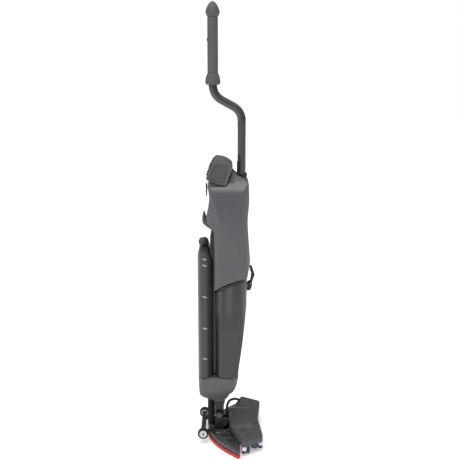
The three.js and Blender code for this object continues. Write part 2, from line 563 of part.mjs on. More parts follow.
function addDrive() {
  const gearbox = join(
    box(FRONT_BLADE_X + BLADE_THICK + 2.6, FRONT_BRUSH_X + 9.5, -8, 8, 3, COVER_BOTTOM - GAP),
    box(REAR_BRUSH_X - 6, REAR_BRUSH_X + 14, -8, 8, 20, PLATE_TOP + 1.6));
  add('brush_gearbox', cut(gearbox, shaftHole(REAR_BRUSH_X), shaftHole(FRONT_BRUSH_X)), BLACK);
  const across = (y0, y1, radius) => bar(V(MOTOR_X, y0, MOTOR_Z), V(MOTOR_X, y1, MOTOR_Z), radius);
  add('brush_motor', join(across(-31, 31, MOTOR_RADIUS), across(30, 34, 6)), STEEL);
}

function addBrush(name, x, half, knobRadius) {
  const line = (y0, y1, radius) => bar(V(x, y0, BRUSH_RADIUS), V(x, y1, BRUSH_RADIUS), radius);
  const shaftEnd = half + 1 + CHEEK_THICK;
  const core = line(-shaftEnd, shaftEnd, SHAFT_RADIUS);
  const knob = (side) => line(side * (shaftEnd + 0.4), side * (shaftEnd + 7), knobRadius);
  const stub = (side) => line(side * (shaftEnd - 1), side * (shaftEnd + 1), SHAFT_RADIUS);
  add(`${name}_core`, knobRadius > 0 ? join(core, stub(-1), stub(1), knob(-1), knob(1)) : core, TEAL);
  for (const [label, side] of [['right', -1], ['left', 1]]) {
    const sleeve = line(side * 9.5, side * half, BRUSH_RADIUS);
    add(`${name}_bristles_${label}`, cut(sleeve, line(side * 5, side * (half + 5), SHAFT_RADIUS + GAP)), RUBBER);
  }
}

function addBumpers() {
  const corners = { rear: REAR_BUMPER, front: FRONT_BUMPER };
  for (const [label, side] of [['right', -1], ['left', 1]]) {
    for (const [place, [x, y]] of Object.entries(corners)) {
      const roller = turned(tubeProfile(BUMPER_POST + 0.6, BUMPER_RADIUS, 16, COVER_BOTTOM - GAP));
      add(`bumper_${place}_${label}`, roller.translate(x, side * y, 0), PALE);
    }
  }
}

// The squeegee's rear line is a parabola; shifting it forward gives the blade's and the frame's faces
function crescent(shift, halfWidth, front) {
  const sweep = SQUEEGEE_SWEEP * (halfWidth / SQUEEGEE_HALF_WIDTH) ** 2;
  const apex = SQUEEGEE_APEX + shift;
  const tip = apex + sweep;
  const shape = new THREE.Shape();
  shape.moveTo(front, -halfWidth);
  shape.lineTo(front, halfWidth);
  shape.lineTo(tip, halfWidth);
  for (let step = 1; step <= 16; step += 1) {
    const y = halfWidth * (1 - step / 8);
    shape.lineTo(apex + sweep * (y / halfWidth) ** 2, y);
  }
  return shape;
}

function addSqueegee() {
  const frameShift = BLADE_THICK + 1 + GAP;
  const plan = crescent(frameShift, SQUEEGEE_HALF_WIDTH - 3, FRONT_BLADE_X - GAP);
  const rim = turned(tubeProfile(40, RIM_RADIUS, FRAME_TOP - 2, FRAME_TOP + RIM_RISE),
    40).translate(PIVOT_X, 0, 0);
  const rimRoom = [box(4, 60, -60, 60, 0, 40), box(-80, -40, -60, 60, 0, 40)];
  const raised = cut(meet(rim, planPrism(plan, 0, 40)), ...rimRoom);
  const plate = join(planPrism(plan, FRAME_BOTTOM, FRAME_TOP), raised);
  const tools = [
    bar(V(PIVOT_X, 0, 0), V(PIVOT_X, 0, 30), TURN_RADIUS + 1), box(PIVOT_X, 40, -21, 21, 0, 30)];
  for (const side of [-1, 1]) {
    const pocket = (corners) => planPrism(outline(corners.map(([x, y]) => [x, side * y]), 3), 11, 30);
    tools.push(pocket([[-28, 50], [14, 50], [14, 74], [-18, 74]]),
      pocket([[-12, 82], [14, 82], [14, 126], [7, 122]]));
  }
  add('squeegee_frame', cut(plate, ...tools), DECK);
  const outer = planPrism(crescent(0, SQUEEGEE_HALF_WIDTH, 60), 0, BLADE_HEIGHT);
  const inner = planPrism(crescent(BLADE_THICK + 1, SQUEEGEE_HALF_WIDTH + 10, 90), -1, BLADE_HEIGHT + 1);
  add('squeegee_blade_rear', cut(outer, inner), RED);
  const half = SQUEEGEE_HALF_WIDTH - 4;
  add('squeegee_blade_front', box(FRONT_BLADE_X, FRONT_BLADE_X + BLADE_THICK, -half, half, 0, 18), RED);
}

function addWheels() {
  const half = WHEEL_Y - WHEEL_WIDTH / 2 - 1.5;
  const across = (y0, y1, radius) => bar(V(WHEEL_X, y0, WHEEL_Z), V(WHEEL_X, y1, WHEEL_Z), radius);
  const beam = box(WHEEL_X - 6, WHEEL_X + 6, -half, half, WHEEL_Z - 6, WHEEL_Z + 6);
  const foot = (side) => box(WHEEL_X + 5, -42, Math.min(side * 35, side * 48), Math.max(side * 35, side * 48),
    FRAME_TOP + GAP, 26);
  add('wheel_bracket', cut(join(beam, foot(-1), foot(1)), across(-90, 90, AXLE_RADIUS + GAP)), BLACK);
  const axleEnd = WHEEL_Y + WHEEL_WIDTH / 2 + 1;
  add('wheel_axle', across(-axleEnd, axleEnd, AXLE_RADIUS), STEEL);
  for (const [label, side] of [['right', -1], ['left', 1]]) {
    const y0 = side * WHEEL_Y - WHEEL_WIDTH / 2;
    const y1 = y0 + WHEEL_WIDTH;
    add(`wheel_tyre_${label}`, cut(across(y0, y1, WHEEL_RADIUS), across(y0 - 1, y1 + 1, HUB_RADIUS + GAP)), RUBBER);
    add(`wheel_hub_${label}`, cut(across(y0, y1, HUB_RADIUS), across(y0 - 1, y1 + 1, AXLE_RADIUS + GAP)), WHITE);
  }
}

function addSolutionHose() {
  const route = new THREE.CatmullRomCurve3([
    V(-8, 38, FRAME_TOP + 5), V(-9, 43, COVER_TOP - 4), V(-8, 58, COVER_TOP + 10), V(-2, 76, COVER_TOP + 15),
    V(9, 91, COVER_TOP + 14), V(20, 101, COVER_TOP + 10), V(27, 107, COVER_TOP + 4)]);
  const ring = new THREE.Shape();
  ring.absarc(0, 0, 3.5, 0, Math.PI * 2);
  add('solution_hose', new THREE.ExtrudeGeometry(ring, {
    extrudePath: route, steps: 12, curveSegments: 4, bevelEnabled: false }), RUBBER);
}

addHandle();
addBody();
addConsole();
addInside();
addSpine();
addCleanTank();
addRecoveryTank();
addFoot();
addYoke();
addCover();
addChassis();
addDrive();
addBrush('rear_brush', REAR_BRUSH_X, REAR_BRUSH_HALF, 0);
addBrush('front_brush', FRONT_BRUSH_X, FRONT_BRUSH_HALF, 6.5);
addBumpers();
addSqueegee();
addWheels();
addSolutionHose();

export default machine;
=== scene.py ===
# %% [markdown]
# # An upright battery floor scrubber
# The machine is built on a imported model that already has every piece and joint. This lesson gives those
# pieces their true roundness and their finishes. It starts with the frame, so that each new piece can be
# laid exactly over the one it stands for.
# %% Load the frame
import json
import math

import bmesh
import bpy
from mathutils import Matrix, Vector


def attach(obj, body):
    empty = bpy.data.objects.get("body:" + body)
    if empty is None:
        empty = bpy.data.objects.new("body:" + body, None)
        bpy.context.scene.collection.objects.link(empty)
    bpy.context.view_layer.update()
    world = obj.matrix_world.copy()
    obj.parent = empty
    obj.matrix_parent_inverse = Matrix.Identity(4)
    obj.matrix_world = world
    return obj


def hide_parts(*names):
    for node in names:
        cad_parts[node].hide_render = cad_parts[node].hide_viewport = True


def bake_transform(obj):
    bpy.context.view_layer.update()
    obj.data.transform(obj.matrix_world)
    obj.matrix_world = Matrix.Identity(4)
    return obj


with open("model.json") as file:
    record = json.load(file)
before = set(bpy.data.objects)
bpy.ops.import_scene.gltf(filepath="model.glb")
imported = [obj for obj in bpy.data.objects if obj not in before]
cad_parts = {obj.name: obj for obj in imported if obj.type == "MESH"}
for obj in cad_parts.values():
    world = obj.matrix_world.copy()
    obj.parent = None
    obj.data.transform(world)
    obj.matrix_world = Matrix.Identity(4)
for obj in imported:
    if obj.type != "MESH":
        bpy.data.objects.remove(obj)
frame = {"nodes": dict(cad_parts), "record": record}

body_of = {node: body for body, nodes in frame["record"]["behaviour"]["bodies"].items() for node in nodes}
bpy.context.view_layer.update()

# %% [markdown]
# ## The camera
# The machine is seen square from its right side, a little from above, by a camera at about chest height.
# The camera comes first because every choice of detail depends on how large a piece appears.
# %% Camera
eye = bpy.data.cameras.new("side_camera")
eye.lens = 56.0
eye.sensor_width = 36.0
camera = bpy.data.objects.new("side_camera", eye)
camera.location = (0.0, -1.9145, 0.956)
camera.rotation_euler = (math.radians(90 - 10.78), 0.0, 0.0)
bpy.context.collection.objects.link(camera)
bpy.context.scene.camera = camera
print("camera", tuple(camera.location))

# %% [markdown]
# ## A stage of soft light
# A dark machine shows its form only through reflections. Two tall side lights draw the long edges, and a
# broad one and a wide soft sun from above lift the tops and whiten the floor. The room is white to look at,
# but as a lamp it is dim at the height of the horizon and brighter overhead, so that dark edges stay dark.
# %% Stage
def soft_light(name, place, aim, width, height, power):
    lamp = bpy.data.lights.new(name, "AREA")
    lamp.shape = "RECTANGLE"
    lamp.size, lamp.size_y, lamp.energy = width, height, power
    holder = bpy.data.objects.new(name, lamp)
    holder.location = place
    holder.rotation_euler = (Vector(aim) - Vector(place)).to_track_quat("-Z", "Y").to_euler()
    bpy.context.collection.objects.link(holder)


soft_light("overhead", (-0.4, -1.0, 2.7), (0.0, 0.0, 0.7), 1.4, 1.0, 16)
soft_light("left_strip", (-1.5, -1.5, 1.1), (0.0, 0.0, 0.6), 0.30, 2.2, 4)
soft_light("right_strip", (1.0, -1.9, 1.2), (0.0, 0.0, 0.6), 0.12, 2.0, 1.2)

sky = bpy.data.lights.new("sky", "SUN")
sky.energy = 1.6
sky.angle = math.radians(70)
sky_holder = bpy.data.objects.new("sky", sky)
sky_holder.rotation_euler = (math.radians(8), math.radians(-6), 0.0)
bpy.context.collection.objects.link(sky_holder)

world = bpy.data.worlds.new("pale_room")
world.use_nodes = True
room = world.node_tree
dim = room.nodes["Background"]
way = room.nodes.new("ShaderNodeTexCoord")
apart = room.nodes.new("ShaderNodeSeparateXYZ")
room.links.new(way.outputs["Generated"], apart.inputs[0])
ramp = room.nodes.new("ShaderNodeMapRange")
room.links.new(apart.outputs["Z"], ramp.inputs["Value"])
LEVEL_LIGHT, OVERHEAD_LIGHT = 0.05, 0.50
for place, value in (("From Min", 0.0), ("From Max", 0.75), ("To Min", LEVEL_LIGHT),
                     ("To Max", OVERHEAD_LIGHT)):
    ramp.inputs[place].default_value = value
WHITE = (1.0, 1.0, 1.0, 1.0)
dim.inputs["Color"].default_value = WHITE
room.links.new(ramp.outputs[0], dim.inputs["Strength"])
bright = room.nodes.new("ShaderNodeBackground")
bright.inputs["Color"].default_value = WHITE
bright.inputs["Strength"].default_value = 1.0
seen = room.nodes.new("ShaderNodeLightPath")
either = room.nodes.new("ShaderNodeMixShader")
room.links.new(seen.outputs["Is Camera Ray"], either.inputs[0])
room.links.new(dim.outputs[0], either.inputs[1])
room.links.new(bright.outputs[0], either.inputs[2])
room.links.new(either.outputs[0], room.nodes["World Output"].inputs["Surface"])
bpy.context.scene.world = world
bpy.context.scene.view_settings.view_transform = "Standard"
print("lights", len(bpy.data.lights))

# %% [markdown]
# ## Sums on sockets
# A finish is a recipe of nodes, and most of it is arithmetic. Wiring each Math node by hand hides the
# sum, so one small class lets a socket be used in an ordinary expression, and one method makes any other
# node.
# %% Socket arithmetic
class Sock:
    """An output socket that can be used in sums; each sum adds a Math node."""

    def __init__(self, finish, socket):
        self.finish, self.socket = finish, socket

    def _sum(self, operation, first, second):
        return self.finish.node("ShaderNodeMath", {"operation": operation}, {0: first, 1: second})

    def __add__(self, other): return self._sum("ADD", self, other)
    def __radd__(self, other): return self._sum("ADD", other, self)
    def __sub__(self, other): return self._sum("SUBTRACT", self, other)
    def __rsub__(self, other): return self._sum("SUBTRACT", other, self)
    def __mul__(self, other): return self._sum("MULTIPLY", self, other)
    def __rmul__(self, other): return self._sum("MULTIPLY", other, self)
    def __truediv__(self, other): return self._sum("DIVIDE", self, other)
    def __abs__(self): return self._sum("ABSOLUTE", self, 0.0)

    def clamped(self):
        return self.finish.node("ShaderNodeClamp", {}, {"Value": self})


class Finish:
    """A material under construction."""

    def __init__(self, name):
        self.material = bpy.data.materials.new(name)
        self.material.use_nodes = True
        self.tree = self.material.node_tree
        self.shader = self.tree.nodes["Principled BSDF"]
        self.spot = self.node("ShaderNodeTexCoord", output="Object")

    def node(self, kind, settings=None, inputs=None, output=0):
        made = self.tree.nodes.new(kind)
        for name, value in (settings or {}).items():
            setattr(made, name, value)
        for name, value in (inputs or {}).items():
            self.feed(made.inputs[name], value)
        return Sock(self, made.outputs[output])

    def feed(self, socket, value):
        if isinstance(value, Sock):
            self.tree.links.new(value.socket, socket)
        else:
            socket.default_value = value

    def put(self, **values):
        for name, value in values.items():
            self.feed(self.shader.inputs[name.replace("_", " ")], value)


print("socket arithmetic ready")

# %% [markdown]
# ## Shared ingredients
# Moulded plastic is never one even tone. A slow drift of shade over several centimetres, a fine grain
# about a millimetre across and a little polish on worn edges are on every piece, so each is a small
# helper.
# %% Ingredients
def linear(red, green, blue):
    level = [(v / 255 / 12.92) if v < 10.3 else ((v / 255 + 0.055) / 1.055) ** 2.4 for v in (red, green,
                                                                                             blue)]
    return (*level, 1.0)


def shade(colour, factor):
    return (*[min(1.0, v * factor) for v in colour[:3]], 1.0)


def drift(finish, scale, detail=2.0, stretch=(1, 1, 1)):
    spot = finish.node("ShaderNodeMapping", {}, {"Vector": finish.spot, "Scale": stretch})
    return finish.node("ShaderNodeTexNoise", {}, {"Vector": spot, "Scale": scale, "Detail": detail})


def mixed(finish, factor, first, second):
    made = finish.tree.nodes.new("ShaderNodeMix")
    made.data_type = "RGBA"
    finish.feed(made.inputs[0], factor)
    finish.feed(made.inputs[6], first)
    finish.feed(made.inputs[7], second)
    return Sock(finish, made.outputs[2])


def worn_edges(finish, radius=0.0012):
    """1 on edges tighter than the radius, 0 on flats."""
    rounded = finish.node("ShaderNodeBevel", {"samples": 3}, {"Radius": radius})
    true = finish.node("ShaderNodeNewGeometry", output="Normal")
    agree = finish.node("ShaderNodeVectorMath", {"operation": "DOT_PRODUCT"}, {0: rounded, 1: true}, "Value")
    return ((1.0 - agree) * 6.0).clamped()


def moulded(name, colour, rough, grain=900.0, grain_depth=0.12, wear=0.0, swing=0.07, metal=0.0, coat=0.0):
    """Moulded plastic or rubber: drifting shade, fine grain, rubbed edges."""
    finish = Finish(name)
    slow = drift(finish, 14.0, 3.0)
    fine = drift(finish, grain, 2.0)
    base = mixed(finish, slow, shade(colour, 1 - swing), shade(colour, 1 + swing))
    speck = ((fine - 0.5) * 0.5 + 0.5).clamped()
    base = mixed(finish, speck * 0.35, base, shade(colour, 0.8))
    if wear:
        base = mixed(finish, worn_edges(finish) * wear, base, shade(colour, 1.9))
    finish.put(Base_Color=base, Roughness=(rough + (slow - 0.5) * 0.12 + (fine - 0.5) * 0.08).clamped(),
               Metallic=metal, Coat_Weight=coat)
    finish.put(Normal=finish.node("ShaderNodeBump", {}, {
        "Strength": grain_depth, "Distance": 0.0004, "Height": fine}))
    return finish


print("ingredients ready")

# %% [markdown]
# ## Body and foot plastic
# The grey body is satin moulded plastic. A real shell has a fine parting line near its lower end, which is
# narrower than any mesh worth making, so the finish draws it as a dark line with a dip in the bump.
# %% Body finish
GREY = linear(84, 85, 88)
PARTING_HEIGHT = 0.508
shell_grey = moulded("shell_grey", GREY, 0.40, 1100.0, 0.06, wear=0.12)


def with_parting(name):
    finish = Finish(name)
    slow, fine = drift(finish, 12.0, 3.0), drift(finish, 1100.0)
    height = finish.node("ShaderNodeSeparateXYZ", {}, {"Vector": finish.spot}, "Z")
    line = (1.0 - abs(height - PARTING_HEIGHT) / 0.0009).clamped()
    base = mixed(finish, slow, shade(GREY, 0.94), shade(GREY, 1.07))
    base = mixed(finish, worn_edges(finish) * 0.1, base, shade(GREY, 1.7))
    finish.put(Base_Color=mixed(finish, line * 0.55, base, shade(GREY, 0.35)),
               Roughness=(0.37 + (slow - 0.5) * 0.12 + line * 0.2).clamped())
    grain = finish.node("ShaderNodeBump", {}, {"Strength": 0.05, "Distance": 0.0004, "Height": fine})
    finish.put(Normal=finish.node("ShaderNodeBump", {}, {
        "Strength": 0.6, "Distance": 0.0008, "Height": 1.0 - line, "Normal": grain}))
    return finish


body_grey = with_parting("body_grey")
print("body finishes", shell_grey.material.name, body_grey.material.name)

# %% [markdown]
# ## Grips, tube and blacks
# The grips are soft-touch plastic with a pebbled skin, which a cell pattern gives better than noise. The
# tube is painted metal, so it is smoother, part metallic, and faintly drawn along its length.
# %% Grip and tube finishes
def pebbled(name, colour):
    finish = Finish(name)
    slow = drift(finish, 20.0, 3.0)
    cells = finish.node("ShaderNodeTexVoronoi", {"feature": "SMOOTH_F1"},
                        {"Vector": finish.spot, "Scale": 700.0})
    dust = mixed(finish, slow, shade(colour, 0.9), shade(colour, 1.1))
    finish.put(Base_Color=mixed(finish, (cells * 0.6).clamped(), dust, shade(colour, 0.72)),
               Roughness=(0.62 + (slow - 0.5) * 0.15 + cells * 0.1).clamped())
    finish.put(Normal=finish.node("ShaderNodeBump", {},
                                  {"Strength": 0.35, "Distance": 0.0006, "Height": cells}))
    return finish


def painted_tube(name, colour):
    finish = Finish(name)
    drawn = drift(finish, 260.0, 2.0, (1.0, 1.0, 0.03))
    slow = drift(finish, 9.0)
    finish.put(Base_Color=mixed(finish, slow, shade(colour, 0.9), shade(colour, 1.12)),
               Roughness=(0.22 + drawn * 0.12).clamped(), Metallic=0.35, Coat_Weight=0.3)
    finish.put(Normal=finish.node("ShaderNodeBump", {},
                                  {"Strength": 0.05, "Distance": 0.0003, "Height": drawn}))
    return finish


grip_skin = pebbled("grip_skin", linear(84, 85, 84))
pole_paint = painted_tube("pole_paint", linear(66, 67, 72))
satin_black = moulded("satin_black", linear(27, 27, 28), 0.38, 800.0, 0.10, wear=0.25)
gloss_black = moulded("gloss_black", linear(18, 19, 22), 0.08, 300.0, 0.01, coat=0.8)
deck_plastic = moulded("deck_plastic", linear(72, 73, 76), 0.36, 900.0, 0.10, wear=0.2)
print("grip, tube and black finishes")

# %% [markdown]
# ## Rubber, red blades, pale rollers and metals
# The blades are polyurethane, a little waxy. The steel is drawn, so its noise is stretched along one axis.
# %% Small finishes
black_rubber = moulded("black_rubber", linear(30, 30, 31), 0.72, 600.0, 0.30, wear=0.1)
bristle_nylon = moulded("bristle_nylon", linear(34, 36, 38), 0.45, 400.0, 0.2)
blade_red = moulded("blade_red", linear(190, 40, 36), 0.42, 500.0, 0.12, wear=0.1, swing=0.1)
blade_red.shader.inputs["Subsurface Weight"].default_value = 0.05
roller_pale = moulded("roller_pale", linear(214, 222, 250), 0.35, 500.0, 0.05)
hub_white = moulded("hub_white", linear(232, 232, 230), 0.35, 600.0, 0.05, swing=0.03)
core_teal = moulded("core_teal", linear(38, 92, 104), 0.4, 600.0, 0.08)
mark_pale = moulded("mark_pale", linear(205, 207, 206), 0.5, 500.0, 0.05, swing=0.02)


def drawn_steel(name, level, rough):
    finish = Finish(name)
    lines = drift(finish, 500.0, 2.0, (1.0, 0.05, 1.0))
    tone = linear(level, level + 1, level + 3)
    finish.put(Base_Color=mixed(finish, lines, shade(tone, 0.85), shade(tone, 1.1)),
               Roughness=(rough + lines * 0.15).clamped(), Metallic=0.92)
    finish.put(Normal=finish.node("ShaderNodeBump", {},
                                  {"Strength": 0.08, "Distance": 0.0003, "Height": lines}))
    return finish


steel = drawn_steel("steel", 168, 0.22)
dark_steel = drawn_steel("dark_steel", 70, 0.3)


def circuit(name):
    finish = Finish(name)
    traces = finish.node("ShaderNodeTexBrick", {"offset": 0.5}, {"Vector": finish.spot, "Scale": 110.0})
    copper = finish.node("ShaderNodeRGBToBW", {}, {"Color": traces})
    finish.put(Base_Color=mixed(finish, copper, linear(40, 96, 60), linear(24, 78, 44)), Roughness=0.45)
    return finish


board_green = circuit("board_green")
print("small finishes")

# %% [markdown]
# ## Smoked tank plastic
# The tanks are smoked plastic that shows what stands inside as lighter and darker blocks. Real glass-like
# transmission would be slow and noisy on such a dark wall, so the wall is part transparent through Alpha.
# The recovery tank is frosted below its middle, where nothing shows through.
# %% Tank finishes
def smoked(name, colour, clear_alpha, frosted_alpha, frost_from, frost_to):
    finish = Finish(name)
    height = finish.node("ShaderNodeSeparateXYZ", {}, {"Vector": finish.spot}, "Z")
    frost = ((frost_from - height) / (frost_from - frost_to)).clamped()
    slow, fine = drift(finish, 10.0, 3.0), drift(finish, 700.0)
    finish.put(Base_Color=mixed(finish, slow, shade(colour, 0.92), shade(colour, 1.08)),
               Roughness=(0.24 + slow * 0.1 + fine * 0.04).clamped(),
               Alpha=(clear_alpha + frost * (frosted_alpha - clear_alpha)).clamped())
    finish.put(Normal=finish.node("ShaderNodeBump", {},
                                  {"Strength": 0.04, "Distance": 0.0004, "Height": fine}))
    return finish


clean_smoke = smoked("clean_smoke", linear(60, 60, 60), 0.95, 0.95, 0.3, 0.2)
used_smoke = smoked("used_smoke", linear(54, 54, 53), 0.84, 0.95, 0.335, 0.320)
print("tank finishes")

# %% [markdown]
# ## Mesh helpers
# Most pieces are mouldings: an outline with rounded corners, pushed along one axis, and often met with a
# second outline from another side. These helpers work in millimetres, as a drawing does, and write meshes
# in metres.
# %% Outlines and prisms
MM = 0.001
PIVOT_X, PIN_Z = -30.0, 64.0
BOTH_SIDES = (("right", -1), ("left", 1))


def toward(here, other, size):
    """The point a distance from here towards another, at most just short of halfway."""
    way = other - here
    return here + way.normalized() * min(size, way.length * 0.48)


def curve(start, corner, end, steps):
    """Points of a curve that leaves along one edge of a corner and arrives along the other."""
    points = []
    for step in range(steps + 1):
        t = step / steps
        points.append(start * (1 - t) ** 2 + corner * 2 * t * (1 - t) + end * t ** 2)
    return points


def outline(corners, steps=8):
    """Corners are (a, b, round); round is how much of each neighbouring edge the curve takes."""
    points = []
    count = len(corners)
    for index, corner in enumerate(corners):
        here = Vector(corner[:2])
        size = corner[2] if len(corner) > 2 else 0.0
        if size <= 0:
            points.append(here)
            continue
        start, end = [toward(here, Vector(other[:2]), size)
                      for other in (corners[index - 1], corners[(index + 1) % count])]
        points += curve(start, here, end, steps)
    return points


def mirrored(corners):
    return list(corners) + [(a, -b, *rest) for a, b, *rest in reversed(corners)]


def mirrored_wide(corners):
    return list(corners) + [(-a, b, *rest) for a, b, *rest in reversed(corners)]


def new_piece(name, points, faces):
    mesh = bpy.data.meshes.new(name)
    mesh.from_pydata([tuple(Vector(p) * MM) for p in points], [], faces)
    work = bmesh.new()
    work.from_mesh(mesh)
    bmesh.ops.remove_doubles(work, verts=work.verts, dist=1e-6)
    bmesh.ops.recalc_face_normals(work, faces=work.faces)
    work.to_mesh(mesh)
    work.free()
    piece = bpy.data.objects.new(name, mesh)
    bpy.context.collection.objects.link(piece)
    return piece


def between(name, low_points, high_points):
    """A solid between two outlines with the same count of points."""
    count = len(low_points)
    faces = [list(range(count)), [count + i for i in reversed(range(count))]]
    faces += [[i, (i + 1) % count, count + (i + 1) % count, count + i] for i in range(count)]
    return new_piece(name, low_points + high_points, faces)


def prism(name, shape, axis, low, high):
    orders = {"X": lambda a, b, d: (d, a, b), "Y": lambda a, b, d: (a, d, b), "Z": lambda a, b, d: (a, b, d)}
    lay = orders[axis]
    return between(name, [lay(a, b, low) for a, b in shape], [lay(a, b, high) for a, b in shape])


def lofted(name, low_shape, low, high_shape, high):
    return between(name, [(a, b, low) for a, b in low_shape], [(a, b, high) for a, b in high_shape])


print("outline of a square has", len(outline([(0, 0, 1), (9, 0, 1), (9, 9, 1), (0, 9, 1)])), "points")

# %% [markdown]
# ## Turned and swept pieces
# Anything round is a profile spun about an axis, and anything bent is a ring carried along a path. Ribs and
# treads are the same profile with its radius changed as it turns.
# %% Turned and swept
def turned(name, profile, at=(0, 0, 0), axis=(0, 0, 1), sides=64, change=None):
    """A profile of (radius, height) spun about an axis; change(radius, height, angle) alters its points."""
    turn = Vector(axis).to_track_quat("Z", "Y").to_matrix()
    points, faces = [], []
    for step in range(sides):
        angle = 2 * math.pi * step / sides
        for radius, height in profile:
            r, h = change(radius, height, angle) if change else (radius, height)
            points.append(Vector(at) + turn @ Vector((r * math.cos(angle), r * math.sin(angle), h)))
    rows = len(profile)
    for step in range(sides):
        following = (step + 1) % sides
        for row in range(rows - 1):
            here, there = step * rows + row, following * rows + row
            faces.append([here, there, there + 1, here + 1])
    return new_piece(name, points, faces)


def rounded_profile(corners, steps=5):
    """An open profile with its inner corners rounded: (radius, height, round)."""
    points = [Vector(corners[0][:2])]
    for before, corner, after in zip(corners, corners[1:], corners[2:]):
        here = Vector(corner[:2])
        size = corner[2] if len(corner) > 2 else 0.0
        if size <= 0:
            points.append(here)
            continue
        start, end = [toward(here, Vector(other[:2]), size) for other in (before, after)]
        points += curve(start, here, end, steps)
    return [tuple(p) for p in points] + [tuple(corners[-1][:2])]


def swept(name, path, radius, sides):
    """A round bar along a path of points."""
    points, faces = [], []
    across = Vector((0, 1, 0))
    for index, spot in enumerate(path):
        ahead = (path[min(index + 1, len(path) - 1)] - path[max(index - 1, 0)]).normalized()
        side = (across - ahead * across.dot(ahead)).normalized()
        up = ahead.cross(side)
        for step in range(sides):
            angle = 2 * math.pi * step / sides
            points.append(spot + (side * math.cos(angle) + up * math.sin(angle)) * radius)
    for ring in range(len(path) - 1):
        for step in range(sides):
            following = (step + 1) % sides
            here, there = ring * sides + step, ring * sides + following
            faces.append([here, there, there + sides, here + sides])
    faces.append(list(range(sides)))
    faces.append([(len(path) - 1) * sides + s for s in reversed(range(sides))])
    return new_piece(name, points, faces)


print("turned and swept ready")

# %% [markdown]
# ## Boolean, melt, split and shell
# A moulding that curves in three directions is easiest as outlines met together, then melted: a voxel
# remesh makes the mesh even, and smoothing rounds every edge at once. A shell is then a solid that is
# opened and given a wall.
# %% Mesh surgery
def settle(piece):
    """Apply a piece's modifiers to its mesh."""
    mesh = bpy.data.meshes.new_from_object(piece.evaluated_get(bpy.context.evaluated_depsgraph_get()))
    piece.modifiers.clear()
    piece.data = mesh
    return piece


def combined(piece, operation, *tools):
    for tool in tools:
        boolean = piece.modifiers.new("meet", "BOOLEAN")
        boolean.operation, boolean.object, boolean.solver = operation, tool, "EXACT"
    settle(piece)
    for tool in tools:
        bpy.data.objects.remove(tool)
    return piece


def melted(piece, voxel, rounds):
    remesh = piece.modifiers.new("even", "REMESH")
    remesh.mode, remesh.voxel_size = "VOXEL", voxel * MM
    smooth = piece.modifiers.new("round", "SMOOTH")
    smooth.factor, smooth.iterations = 0.5, rounds
    return settle(piece)


def bisected(piece, point, normal):
    """Cut away the side that the normal points to, and leave the cut open."""
    work = bmesh.new()
    work.from_mesh(piece.data)
    bmesh.ops.bisect_plane(work, geom=[*work.verts, *work.edges, *work.faces], plane_co=Vector(point) * MM,
                           plane_no=normal, clear_outer=True)
    work.to_mesh(piece.data)
    work.free()
    return piece


def walled(piece, thickness):
    wall = piece.modifiers.new("wall", "SOLIDIFY")
    wall.thickness, wall.offset = thickness * MM, -1.0
    return settle(piece)


def softened_edges(piece, width, segments=2, angle=32):
    """Round each edge sharper than an angle."""
    work = bmesh.new()
    work.from_mesh(piece.data)
    bmesh.ops.remove_doubles(work, verts=work.verts, dist=2e-6)
    bmesh.ops.dissolve_limit(work, angle_limit=math.radians(1.5), verts=work.verts, edges=work.edges)
    sharp = [e for e in work.edges if len(e.link_faces) == 2 and e.calc_face_angle(0) > math.radians(angle)]
    bmesh.ops.bevel(work, geom=sharp, offset=width * MM, offset_type="OFFSET", segments=segments, profile=0.5,
                    affect="EDGES", clamp_overlap=True)
    work.to_mesh(piece.data)
    work.free()
    return piece


def polished(piece, angle=38):
    """Smooth shading that keeps true edges, with flats kept flat."""
    piece.data.polygons.foreach_set("use_smooth", [True] * len(piece.data.polygons))
    piece.data.set_sharp_from_angle(angle=math.radians(angle))
    weighted = piece.modifiers.new("even_shading", "WEIGHTED_NORMAL")
    weighted.keep_sharp = True
    return piece


print("surgery ready")

# %% [markdown]
# ## Putting a piece in its place
# Each new piece stands for one node of the frame, so it takes that node's body and a finish, and the node is
# hidden. A node whose shape is right is copied with its edges rounded, since a real moulding has no knife
# edges.
# %% Placing
def finished(piece, finish, *nodes, body=None, slot=None):
    piece.data.materials.clear()
    piece.data.materials.append(finish.material)
    if nodes:
        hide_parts(*nodes)
    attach(piece, body or body_of[nodes[0]])
    return piece


def dressed(node, finish, width=0.6, segments=2, angle=32):
    """The node itself with its edges rounded."""
    source = frame["nodes"][node].data
    mesh = bpy.data.meshes.new(node + "_dressed")
    mesh.from_pydata([tuple(v.co) for v in source.vertices], [], [tuple(p.vertices) for p in source.polygons])
    piece = bpy.data.objects.new(node + "_dressed", mesh)
    bpy.context.collection.objects.link(piece)
    softened_edges(piece, width, segments, angle)
    return finished(polished(piece), finish, node)


print("placing ready")

# %% [markdown]
# ## The handle
# One steel tube stands in the body, bends back twice and ends inside the grip. The bends are true arcs of a
# curve, so the tube is swept along a path instead of being joined from straight bars.
# %% Handle tube
POLE_X, POLE_BOTTOM, POLE_BEND = 31.0, 672.0, 911.0
GRIP_X, GRIP_BEND, TUBE_TOP = -45.0, 952.0, 1147.0


def corner_path(before, corner, after, size, steps=12):
    start = corner + (before - corner).normalized() * size
    end = corner + (after - corner).normalized() * size
    return curve(start, corner, end, steps)


foot_of_tube, low_bend = Vector((POLE_X, 0, POLE_BOTTOM)), Vector((POLE_X, 0, POLE_BEND))
high_bend, head_of_tube = Vector((GRIP_X, 0, GRIP_BEND)), Vector((GRIP_X, 0, TUBE_TOP))
tube_path = [foot_of_tube, *corner_path(foot_of_tube, low_bend, high_bend, 27),
             *corner_path(low_bend, high_bend, head_of_tube, 27), head_of_tube]
finished(polished(swept("handle_pole", tube_path, 11.0, 36)), pole_paint, "handle_tube")
print("tube points", len(tube_path))

